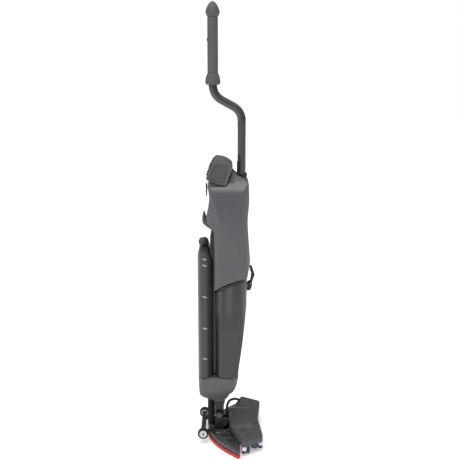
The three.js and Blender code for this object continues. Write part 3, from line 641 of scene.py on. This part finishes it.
# %% [markdown]
# ## Collar, grip and knob
# The grip is a sleeve with a flared collar below and a rounded knob on top. All three are turned, with
# small steps where one piece ends and the next begins.
# %% Grip
GRIP_BOTTOM, SWITCH_Z, GRIP_TOP = 1010.0, 1094.0, 1151.0
collar = rounded_profile([(11.4, 979), (15.6, 979, 1.5), (19.4, 981.5, 3), (20, 988, 4), (18.2, 998, 6),
                          (15.4, 1006, 4), (13.9, 1009.6, 0.6), (11.4, 1009.6)])
finished(polished(turned("grip_flare", collar, (GRIP_X, 0, 0))), grip_skin, "grip_collar")
sleeve = rounded_profile([(11.4, GRIP_BOTTOM), (13.2, GRIP_BOTTOM, 0.5), (13.8, 1012, 0.8), (13.8, 1030, 0),
                          (13.8, 1070, 0), (13.8, 1110, 0), (13.8, 1149, 0.8), (13.2, 1150.6, 0.4),
                          (11.4, 1150.6)])
sleeve_piece = turned("grip_sleeve_turned", sleeve, (GRIP_X, 0, 0))
well = turned("button_well", [(0, -10), (5.4, -10), (5.4, 10), (0, 10)],
              (GRIP_X - 15, 0, SWITCH_Z), (1, 0, 0), 32)
finished(polished(combined(sleeve_piece, "DIFFERENCE", well)), grip_skin, "grip_sleeve")
button = rounded_profile([(0, -0.2), (4.9, -0.2), (4.9, 1.6, 1.2), (3.2, 2.0, 1), (0, 2.0)])
finished(polished(turned("grip_switch_cap", button, (GRIP_X - 13.0, 0, SWITCH_Z), (-1, 0, 0), 40)),
         satin_black, "grip_button")
knob = rounded_profile([(0, 1151.1), (13.4, 1151.1, 0.8), (14.6, 1153, 1.5), (17.8, 1157.5, 3),
                        (18.5, 1163, 4), (17.2, 1170, 5), (13.2, 1178.5, 6), (8.2, 1185.6, 4),
                        (3.4, 1189.2, 2), (0, 1190)])
finished(polished(turned("grip_knob", knob, (GRIP_X, 0, 0))), grip_skin, "grip_end_knob")
print("grip from", GRIP_BOTTOM, "to", GRIP_TOP)

# %% [markdown]
# ## The body shell
# The body swells at the shoulders, narrows at the waist and runs down to a slanted skirt. A side outline,
# a plan and a front outline met together give that form, and melting them gives the soft moulded corners.
# It is then split down the middle, because the real shell is two halves.
# %% Body shell
body_side = outline([
    (-43.6, 437, 1), (-42, 470, 4), (-42, 600, 5), (-62, 622, 5), (-64, 633, 4), (-58, 658, 8),
    (-54.4, 688, 8), (-57, 708, 4), (-60, 716, 2), (-9, 718.5, 1), (6.5, 758, 3), (16, 747, 6), (41, 733, 5),
    (50, 726, 5), (51.5, 674, 20), (46, 630, 20), (49, 583, 20), (54, 517, 8), (47, 478, 2), (46, 476, 1),
    (7, 465, 12), (-20, 453, 12)])
low_plan = outline(mirrored([(-78, -36, 14), (-40, -78, 20), (44, -84, 5), (57, -62, 6), (60, -44, 10)]))
high_plan = outline(mirrored([(-78, -36, 14), (-40, -78, 20), (19, -84, 6), (47, -52, 6), (56, -34, 10)]))
body_front = outline(mirrored_wide([(80, 430, 2), (84, 520, 30), (79, 640, 30), (68, 706, 14),
                                    (50, 728, 8), (34, 765, 8)]))
body = prism("body_form", body_side, "Y", -90, 90)
combined(body, "INTERSECT", lofted("plan", low_plan, 420, high_plan, 780),
         prism("front", body_front, "X", -90, 70))
console_neck = outline([(-59, 712), (-57, 731.5, 3), (-33, 722.5, 10), (-11, 724, 8), (6, 735, 4), (20, 712)])
combined(body, "UNION", prism("console_neck", console_neck, "Y", -52, 52))
melted(body, 1.8, 5)
for label, side in BOTH_SIDES:
    half = bpy.data.objects.new(f"body_{label}", body.data.copy())
    bpy.context.collection.objects.link(half)
    bisected(half, (0, side * 0.2, 0), (0, -side, 0))
    finished(polished(walled(half, 2.6), 50), body_grey, f"body_shell_{label}")
print("body faces", len(body.data.polygons))
bpy.data.objects.remove(body)

# %% [markdown]
# ## Console and batteries
# The console is a block leaning forward on top of the body. A battery slides in from each side, and its
# end shows as a darker rounded panel set a little below the rim, so the block has a real pocket on each
# side.
# %% Console
LOW, HIGH = Vector((-63.2, 739.2)), Vector((-40.7, 792.0))
UP = (HIGH - LOW).normalized()
console_side = outline([(LOW.x, LOW.y, 3), (HIGH.x, HIGH.y, 7), (-12, 788, 14), (8.5, 772, 9),
                        (4.6, 759.5, 1),
                        (-9.8, 719.6, 2), (-29, 722.4, 6), (-60, 733, 3)])


def drawn_in(corners, margin):
    """The corners moved in by a margin, each along the line that halves its angle."""
    moved = []
    for index, (a, b, size) in enumerate(corners):
        here = Vector((a, b))
        before = (Vector(corners[index - 1][:2]) - here).normalized()
        after = (Vector(corners[(index + 1) % len(corners)][:2]) - here).normalized()
        halfway = (before + after).normalized()
        moved.append((*(here + halfway * margin / abs(halfway.cross(after))), size))
    return moved


battery_end = [(-39, 776.5, 7), (-3.5, 772, 9), (-13.5, 728, 8), (-33, 727, 10), (-57.5, 737, 5)]
console = melted(prism("console_block", console_side, "Y", -58, 58), 1.3, 6)
combined(console, "DIFFERENCE", prism("pocket_right", outline(battery_end), "Y", -70, -1.6),
         prism("pocket_left", outline(battery_end), "Y", 1.6, 70))
finished(polished(console, 45), shell_grey, "console_housing")
battery_skin = pebbled("battery_skin", linear(78, 79, 77))


def battery(label, side):
    pack = prism(f"battery_{label}_end", outline(drawn_in(battery_end, 0.4)), "Y",
                 *sorted((side * 2.0, side * 57.0)))
    work = bmesh.new()
    work.from_mesh(pack.data)
    end = max(work.faces, key=lambda f: side * f.calc_center_median().y)
    for inset, push in ((0.5, 0.35), (1.0, 0.0), (0.5, -0.35), (0.6, 0.0)):
        bmesh.ops.inset_region(work, faces=[end], thickness=inset * MM, use_even_offset=True)
        for vert in end.verts:
            vert.co.y += side * push * MM
    work.to_mesh(pack.data)
    work.free()
    return finished(polished(pack, 30), battery_skin, f"battery_pack_{label}")


for label, side in BOTH_SIDES:
    battery(label, side)
print("console from", LOW, "to", HIGH)

# %% [markdown]
# ## Panel, buttons and release lever
# The panel is glossy black with two buttons and four charge lights. No lettering or sign is put on it. The
# lights are small domes, each its own shape on the glass.
# %% Panel
dressed("control_panel", gloss_black, 0.8, 3)
dressed("power_button", steel, 0.5, 3)
dressed("flow_button", shell_grey, 0.5, 3)
dressed("battery_release_lever", satin_black, 0.5, 3)
panel_axis = Vector((-UP.y, 0, UP.x))
panel_middle = Vector(((LOW.x + HIGH.x) / 2, 0, (LOW.y + HIGH.y) / 2))
for index in range(4):
    at = panel_middle + Vector((UP.x, 0, UP.y)) * 15 + panel_axis * 3.2 + Vector((0, 12 - 8 * index, 0))
    dome = turned(f"charge_light_{index + 1}",
                  rounded_profile([(0, 0), (1.7, 0), (1.7, 0.5, 0.3), (0, 0.9)]), at, panel_axis, 24)
    finished(polished(dome), mark_pale if index < 3 else core_teal, body="upper", slot="white")
print("panel pieces done")

# %% [markdown]
# ## Hook, socket, clip and inner works
# The hook on the rear holds a cloth or the cable of a charger. The insides are seldom seen, but they show
# when a tank tilts out, so each has its own finish.
# %% Body fittings
dressed("rear_hook", shell_grey, 0.8, 3)
rim = rounded_profile([(11.5, 735), (14.8, 735), (14.8, 747.2, 1.0), (12.8, 748.6, 0.8), (11.5, 748.6)])
finished(polished(turned("pole_rim", rim, (POLE_X, 0, 0))), satin_black, "pole_socket")
clip = prism("pole_clip", outline([(-12.6, -3.2, 1), (-12.6, 3.2, 1), (-10.6, 5.2, 1), (-10.2, -5.2, 1)]),
             "Z", 748, 779)
clip.data.transform(Matrix.Translation((POLE_X * MM, 0, 0)))
finished(polished(softened_edges(clip, 0.4)), satin_black, body="upper", slot="black")
for node, finish in (("suction_motor", steel), ("suction_fan", satin_black), ("control_board", board_green),
                     ("solution_pump", satin_black), ("spine_frame", satin_black)):
    dressed(node, finish, 0.5)
print("fittings done")

# %% [markdown]
# ## Clean-water tank
# The clean tank is a tall flat bottle behind the machine with a ribbed cap. Its level marks are short pale
# bars, raised from the wall.
# %% Clean tank
def tank_plan(rear, front):
    return outline(mirrored([(rear, -62, 16), (rear + 10, -80, 14), (front - 18, -80, 14), (front, -56, 18)]))


clean_side = outline([(-87, 195.6, 4), (-46, 195.6, 1), (-46, 516, 4), (-60, 546, 4), (-80, 551, 6),
                      (-87, 538, 8)])
clean = prism("clean_bottle", clean_side, "Y", -100, 100)
combined(clean, "INTERSECT", prism("bottle_plan", tank_plan(-87, -46), "Z", 180, 580))
melted(clean, 1.7, 5)
neck_axis = Vector((-math.sin(0.15), 0, math.cos(0.15)))
neck_at = Vector((-70, 0, 547))
neck = turned("neck", [(0, -6), (9.9, -6), (9.9, 6.0), (0, 6.0)], neck_at, neck_axis, 40)
combined(clean, "UNION", neck)
finished(polished(clean, 45), clean_smoke, "clean_tank")


def ribbed(radius, height, angle):
    return (radius - 0.7 * (radius > 12) * (0.5 + 0.5 * math.cos(28 * angle)), height)


cap = rounded_profile([(0, 6.6), (13.1, 6.6, 0.3), (13.7, 8, 0.6), (13.7, 18.2, 1.4), (11.4, 20, 0.8),
                       (10.7, 20.4, 0.4), (10.2, 23.6, 1), (0, 24)])
finished(polished(turned("clean_cap", cap, neck_at, neck_axis, 168, ribbed)), grip_skin, "clean_tank_cap")
for label, side in BOTH_SIDES:
    for index, height in enumerate((528, 511, 425, 338, 252)):
        for part, (x0, x1, z) in enumerate(((-72.6, -67.8, 1.3), (-69.2, -61.6, -0.9))):
            middle = height + z
            bar = outline([(x0, middle - 0.8, 0.6), (x1, middle - 1.0, 0.6), (x1, middle + 0.6, 0.6),
                           (x0, middle + 1.2, 0.6)])
            mark = prism(f"level_{label}_{index}_{part}", bar, "Y", *sorted((side * 79.2, side * 80.25)))
            finished(polished(mark), mark_pale, body="clean_tank", slot="white")
print("clean tank done")

# %% [markdown]
# ## Recovery tank
# The recovery tank takes back the dirty water. Its front tapers towards the foot. A pipe, a float cage
# and a filter stand inside and show through the smoked wall, so they are real pieces behind it.
# %% Recovery tank
lid_line = [(-38, 441, 0), (-20, 451, 12), (7, 463.4, 12), (46, 474, 0)]
LID_DROP = 7.2
recovery_side = outline([*[(x, z - LID_DROP, r) for x, z, r in lid_line], (44.5, 393, 8), (34.7, 297, 20),
                         (22.7, 215, 10),
                         (22.7, 195.6, 4), (-38, 195.6, 1)])
recovery = prism("recovery_bottle", recovery_side, "Y", -100, 100)
combined(recovery, "INTERSECT", prism("recovery_plan", tank_plan(-38, 47), "Z", 180, 500))
melted(recovery, 1.7, 5)
finished(polished(recovery, 45), used_smoke, "recovery_tank")
ear_side = outline([(42, 424, 1), (56, 424, 2), (61, 438, 3), (61, 448, 3), (53, 449, 3), (42, 440, 1)])
for label, side in BOTH_SIDES:
    ear = prism(f"latch_ear_{label}", ear_side, "Y", side * 8 - 1.8, side * 8 + 1.8)
    finished(polished(softened_edges(ear, 0.4)), satin_black, body="recovery_tank", slot="black")
dressed("recovery_tank_lid", satin_black, 0.8)
inner_grey = moulded("inner_grey", linear(168, 168, 168), 0.5, 600.0, 0.1)
for node, finish in (("intake_pipe", inner_grey), ("exhaust_filter", black_rubber),
                     ("float_cage", inner_grey), ("float", hub_white), ("latch_pin", steel),
                     ("tank_latch", satin_black)):
    dressed(node, finish, 0.6, 3)
print("recovery tank done")

# %% [markdown]
# ## The foot block
# Both tanks stand on the foot block, which narrows to a lug between the ears of the swivel. Its underside
# is a soft keel, so it is met from three sides and melted like the body.
# %% Foot block
foot_side = outline([(-87, 195.2), (-85.6, 162, 10), (-82, 135, 8), (-57, 117, 6), (-28, 115, 6),
                     (-8, 134, 8), (13, 158, 8), (22.7, 178, 8), (22.7, 195.2)])
foot_front = outline(mirrored_wide([(78, 200, 1), (76, 158, 20), (46, 122, 14), (26, 110, 4)]))
foot = prism("foot_form", foot_side, "Y", -100, 100)
apron = prism("foot_apron", outline([(-62, 150), (-50, 112, 10), (-24, 108, 8), (-8, 118, 8), (8, 150)]),
              "Y", -36, 36)
combined(foot, "INTERSECT", prism("foot_face", foot_front, "X", -100, 60),
         prism("foot_plan", tank_plan(-87, 22.7), "Z", 90, 220))
combined(foot, "UNION", apron)
melted(foot, 1.7, 7)
rear_well = outline([(-78, -58, 3), (-50, -58, 3), (-50, 58, 3), (-78, 58, 3)])
front_well = outline([(-34, -58, 3), (8, -58, 3), (8, 58, 3), (-34, 58, 3)])
combined(foot, "DIFFERENCE", prism("well_a", rear_well, "Z", 152, 230),
         prism("well_b", front_well, "Z", 166, 230))
finished(polished(foot, 45), shell_grey, "foot_block")
lug_side = outline([(-42.5, 52, 12), (-18, 52, 12), (-18, 88, 8), (-9, 124, 2), (-42.5, 124, 2)])
lug = prism("foot_lug", lug_side, "Y", -18.8, 18.8)
combined(lug, "DIFFERENCE", turned("pin_bore", [(0, -30), (4.4, -30), (4.4, 30), (0, 30)],
                                   (PIVOT_X, 0, PIN_Z), (0, 1, 0), 32))
finished(polished(softened_edges(lug, 1.2, 3)), satin_black, body="upper", slot="black")
print("foot faces", len(foot.data.polygons))

# %% [markdown]
# ## Swivel, pin and suction hose
# The foot leans on a pin and turns on a ring. Beside them the bellows hose brings the water up. It is
# fixed to the turning yoke at its lower end and to the foot at its upper end; here it is made as one
# straight ribbed piece, joined to neither.
# %% Swivel
dressed("swivel_yoke", satin_black, 0.8, 3)
dressed("turntable_ring", dark_steel, 0.5, 2)
pin = rounded_profile([(0, -30.8), (7.5, -30.8, 0.6), (10, -29.4, 1.6), (10, -24.8, 0.4), (4, -24.8, 0),
                       (4, 24.8, 0), (10, 24.8, 0.4), (10, 29.4, 1.6), (7.5, 30.8, 0.6), (0, 30.8)])
finished(polished(turned("tilt_pin_turned", pin, (PIVOT_X, 0, PIN_Z), (0, 1, 0), 48)), gloss_black,
         "tilt_pin")
HOSE_X, HOSE_LOW, HOSE_HIGH = -53.0, 34.6, 115.6
ribs = 15
hose = [(0, HOSE_LOW), (8, HOSE_LOW)]
for rib in range(ribs):
    for part, radius in ((0.15, 8.6), (0.35, 10.2), (0.5, 10.5), (0.65, 10.2), (0.85, 8.6)):
        hose.append((radius, HOSE_LOW + (rib + part) * (HOSE_HIGH - HOSE_LOW) / ribs))
hose += [(8, HOSE_HIGH), (0, HOSE_HIGH)]
bellows = polished(turned("suction_bellows", hose, (HOSE_X, 0, 0), sides=40), 60)
bellows.data.materials.append(black_rubber.material)
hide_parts("bellows_hose")
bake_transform(bellows)
print("bellows ribs", ribs)

# %% [markdown]
# ## The deck cover
# The head's cover is a flat five-sided slab with a smooth hood over the brush motor. A round pocket
# behind the hood lets the swivel's pin pass. Slab and hood are melted into one moulding, then opened
# underneath.
# %% Deck cover
cover_plan = outline(mirrored([(80, 0, 40), (90, 113, 8), (34, 149, 8), (-2, 42, 5)]), 10)
cover = softened_edges(prism("cover_form", cover_plan, "Z", 20, 46), 3.0, 3, 60)
hood_side = outline([(-2, 24), (-2, 53, 5), (10, 58, 10), (40, 58, 16), (60, 52, 14), (74, 40), (74, 24)])
hood_face = outline(mirrored_wide([(74, 24), (74, 42), (58, 52, 14), (28, 58, 14)]))
hood = prism("hood_form", hood_side, "Y", -90, 90)
combined(hood, "INTERSECT", prism("hood_across", hood_face, "X", -20, 90),
         prism("hood_plan", cover_plan, "Z", 0, 90))
combined(cover, "UNION", hood)
combined(cover, "DIFFERENCE", turned("swing", [(0, 47), (34, 47), (34, 90), (0, 90)], (PIVOT_X, 0, 0),
                                     sides=96))
print("cover before melting", len(cover.data.polygons))
melted(cover, 1.6, 9)
bisected(cover, (0, 0, 28), (0, 0, -1))
walled(cover, 2.2)
finished(polished(cover, 50), deck_plastic, "deck_cover")


SCREW_HEAD = 2.8


def screw(name, at, finish):
    profile = rounded_profile([(0, 0.2), (SCREW_HEAD * 0.45, 0.2), (SCREW_HEAD * 0.5, 0.9, 0.1),
                               (SCREW_HEAD, 0.9, 0.3), (SCREW_HEAD, -1.5), (0, -1.5)])
    return finished(polished(turned(name, profile, at, sides=36)), finish, body="head", slot="steel")


for index, (x, y) in enumerate(((48, 112), (48, -112), (38, 77), (38, -77))):
    screw(f"cover_screw_{index + 1}", (x, y, 46.0), steel if y > 100 else dark_steel)
print("cover faces", len(cover.data.polygons))

# %% [markdown]
# ## Chassis, drive and hose
# Below the cover are the plate that carries everything, the motor and the gear case. The solution hose
# rises from the frame and arches over to the cover on the left side.
# %% Head works
for node, finish in (("head_chassis", satin_black), ("brush_gearbox", satin_black), ("brush_motor", steel),
                     ("wheel_bracket", satin_black)):
    dressed(node, finish, 0.6, 2)


def through(points, steps=8):
    """A smooth path through points."""
    path = []
    for index in range(len(points) - 1):
        a, b, c, d = [Vector(points[max(0, min(len(points) - 1, index + k))]) for k in (-1, 0, 1, 2)]
        for step in range(steps):
            t = step / steps
            bow, twist = 2 * a - 5 * b + 4 * c - d, 3 * b - a - 3 * c + d
            path.append(0.5 * ((2 * b) + (c - a) * t + bow * t ** 2 + twist * t ** 3))
    return [*path, Vector(points[-1])]


hose_route = through([(-8, 38, 25), (-9, 43, 42), (-8, 58, 56), (-2, 76, 61), (9, 91, 60), (20, 101, 56),
                      (27, 107, 50)])
finished(polished(swept("solution_line", hose_route, 3.5, 20)), black_rubber, "solution_hose")
print("hose points", len(hose_route))

# %% [markdown]
# ## Brushes
# Two rollers turn against each other. Each is a teal core with tufts of bristle set in a slow spiral.
# Tufts are many small tapered stalks in one mesh, because a smooth sleeve would never read as a brush.
# %% Brush tufts
BRUSH_RADIUS = 12.5


def tufts(name, x, low, high, node, finish):
    points, faces = [], []
    rows, around = int((high - low) / 4.2), 12
    for row in range(rows):
        y = low + (row + 0.5) * (high - low) / rows
        for place in range(around):
            angle = 2 * math.pi * place / around + row * 0.22
            for stalk in range(5):
                lean = 2 * math.pi * stalk / 5 + place
                out = Vector((math.cos(angle), 0, math.sin(angle)))
                side = Vector((-math.sin(angle), 0, math.cos(angle)))
                shift = side * math.cos(lean) * 1.1 + Vector((0, math.sin(lean) * 1.1, 0))
                root, tip = out * 4.8 + shift * 0.5, out * 12.35 + shift
                first = len(points)
                for end_point, width in ((root, 0.5), (tip, 0.32)):
                    for corner in range(3):
                        turn = 2 * math.pi * corner / 3
                        rounding = side * width * math.cos(turn)
                        along = Vector((0, width * math.sin(turn), 0))
                        points.append(Vector((x, y, BRUSH_RADIUS)) + end_point + rounding + along)
                for a in range(3):
                    b = (a + 1) % 3
                    faces.append([first + a, first + b, first + 3 + b, first + 3 + a])
                faces.append([first + 5, first + 4, first + 3])
    piece = new_piece(name, points, faces)
    return finished(piece, finish, node)


for brush, x, half_length in (("rear", 42.0, 128.0), ("front", 68.5, 100.0)):
    dressed(f"{brush}_brush_core", core_teal, 0.4, 2)
    tufts(f"{brush}_tufts_right", x, -half_length, -9.5, f"{brush}_brush_bristles_right", bristle_nylon)
    tufts(f"{brush}_tufts_left", x, 9.5, half_length, f"{brush}_brush_bristles_left", bristle_nylon)
print("brushes done")

# %% [markdown]
# ## Squeegee
# The squeegee sweeps a half-moon behind the brushes. Its rear blade follows a parabola and its front
# blade is straight, with small notches that let the water in. The frame between them has sunk pockets.
# %% Squeegee
def rear_arc(shift, half_width, steps):
    sweep = 84.0 * (half_width / 156.0) ** 2
    arc = []
    for step in range(steps + 1):
        across = 1 - 2 * step / steps
        arc.append(Vector((-63 + shift + sweep * across ** 2, half_width * across)))
    return arc


def crescent(shift, half_width, front):
    return [Vector((front, -half_width)), Vector((front, half_width)), *rear_arc(shift, half_width, 40)]


plate = prism("squeegee_plate", crescent(4.4, 153, 24), "Z", 6, 20)
rim = turned("table_rim", [(40, 18), (47, 18), (47, 21.8), (46.2, 22.6), (40.8, 22.6), (40, 21.8),
                           (40, 18)], (PIVOT_X, 0, 0), sides=96)
rim_room = outline([(-40, -60), (4, -60), (4, 60), (-40, 60)])
combined(rim, "INTERSECT", prism("rim_plan", crescent(4.4, 153, 24), "Z", 0, 40),
         prism("rim_room", rim_room, "Z", 0, 40))
tools = [turned("table_well", [(0, 0), (24, 0), (24, 30), (0, 30)], (PIVOT_X, 0, 0), sides=64),
         prism("tongue_way", outline([(-30, -21), (40, -21), (40, 21), (-30, 21)]), "Z", 0, 30)]
POCKETS = ([(-28, 50, 3), (14, 50, 3), (14, 74, 3), (-18, 74, 3)],
           [(-12, 82, 3), (14, 82, 3), (14, 126, 3), (7, 122, 3)])
for side in (-1, 1):
    for number, corners in enumerate(POCKETS):
        pocket = outline([(x, side * y, r) for x, y, r in corners])
        tools.append(prism(f"pocket_{side}_{number}", pocket, "Z", 11, 30))
combined(plate, "DIFFERENCE", *tools)
finished(polished(rim), gloss_black, body="head", slot="gloss")
finished(polished(softened_edges(plate, 0.9, 2), 34), deck_plastic, "squeegee_frame")
outer = rear_arc(0, 156, 64)
inner = [Vector((p.x + 4, p.y)) for p in reversed(outer)]
finished(polished(softened_edges(prism("rear_blade", [*outer, *inner], "Z", 0, 9), 0.5, 2, 50)), blade_red,
         "squeegee_blade_rear")
comb, notches, half_blade = [], 30, 152.0
for index in range(notches):
    at = -half_blade + (index + 0.5) * 2 * half_blade / notches
    comb += [(at - 1.2, 0), (at - 0.8, 3), (at + 0.8, 3), (at + 1.2, 0)]
front_shape = [Vector(p) for p in [(-half_blade, 0), *comb, (half_blade, 0), (half_blade, 18),
                                   (-half_blade, 18)]]
finished(polished(softened_edges(prism("front_blade", front_shape, "X", 24.4, 27.4), 0.25, 1, 50)),
         blade_red, "squeegee_blade_front")
print("squeegee notches", notches)

# %% [markdown]
# ## Wheels and bumper rollers
# The wheels carry the machine when it is tipped back. Each tyre has a shallow tread and each hub has
# pressed rings. Four pale rollers keep the head from marking the walls.
# %% Wheels and rollers
def treaded(radius, height, angle):
    return (radius - 0.7 * (radius > 14.2 and abs(height) > 2.0) * (math.cos(18 * angle) > 0.55), height)


def spoked(radius, height, angle):
    sunk = 1.6 * (4.6 < radius < 8.0) * max(0.0, min(1.0, 1.4 + 2.2 * math.cos(5 * angle)))
    return (radius, height - math.copysign(sunk, height))


tyre = rounded_profile([(10.4, -6.4), (12.4, -6.4, 0.8), (14.4, -5.6, 1.4), (15, -3, 1.4), (15, 3, 1.4),
                        (14.4, 5.6, 1.4), (12.4, 6.4, 0.8), (10.4, 6.4), (10.4, -6.4)])
disc = [(3.0, -6.2), (4.0, -6.2), (4.6, -5.4), (5.2, -5.3), (6.4, -5.3), (7.6, -5.4), (8.2, -6.1),
        (9.4, -6.3), (10.0, -5.8)]
hub = [*disc, *[(r, -h) for r, h in reversed(disc)], (3.0, -6.2)]
WHEEL_X, WHEEL_Y, WHEEL_Z = -74.4, 68.0, 29.8
for label, side in BOTH_SIDES:
    centre = (WHEEL_X, side * WHEEL_Y, WHEEL_Z)
    finished(polished(turned(f"tyre_{label}", tyre, centre, (0, 1, 0), 108, treaded)), black_rubber,
             f"wheel_tyre_{label}")
    finished(polished(turned(f"hub_{label}", hub, centre, (0, 1, 0), 80, spoked), 50), hub_white,
             f"wheel_hub_{label}")
    for place, (x, y) in (("rear", (38.0, 139.7)), ("front", (82.2, 107.6))):
        roller = rounded_profile([(2.6, 16), (5.4, 16, 0.5), (6.5, 17.4, 1), (6.5, 26.0, 1),
                                  (5.4, 27.6, 0.5), (2.6, 27.6), (2.6, 16)])
        finished(polished(turned(f"roller_{place}_{label}", roller, (x, side * y, 0), sides=40)),
                 roller_pale, f"bumper_{place}_{label}")
dressed("wheel_axle", dark_steel, 0.4, 2)
for label, y in (("right", -42), ("left", 42)):
    profile = rounded_profile([(0, 0), (2.4, 0), (2.4, 1.0, 0.4), (0, 1.4)])
    finished(polished(turned(f"bracket_screw_{label}", profile, (-72, y, 35.6), sides=32)), steel,
             body="head", slot="steel")
print("wheels done")

# %% [markdown]
# ## The floor, and the end
# The floor is a wide pale plane.
# %% Floor and finish
paper = moulded("pale_floor", (0.92, 0.92, 0.92, 1.0), 0.8, 40.0, 0.0, swing=0.0)
paper.put(Emission_Color=(1.0, 1.0, 1.0, 1.0), Emission_Strength=0.36)
paper.shader.inputs["Specular IOR Level"].default_value = 0.1
ground = new_piece("ground", [(-20000, -20000, 0), (20000, -20000, 0), (20000, 20000, 0),
                              (-20000, 20000, 0)], [[0, 1, 2, 3]])
ground.data.materials.append(paper.material)
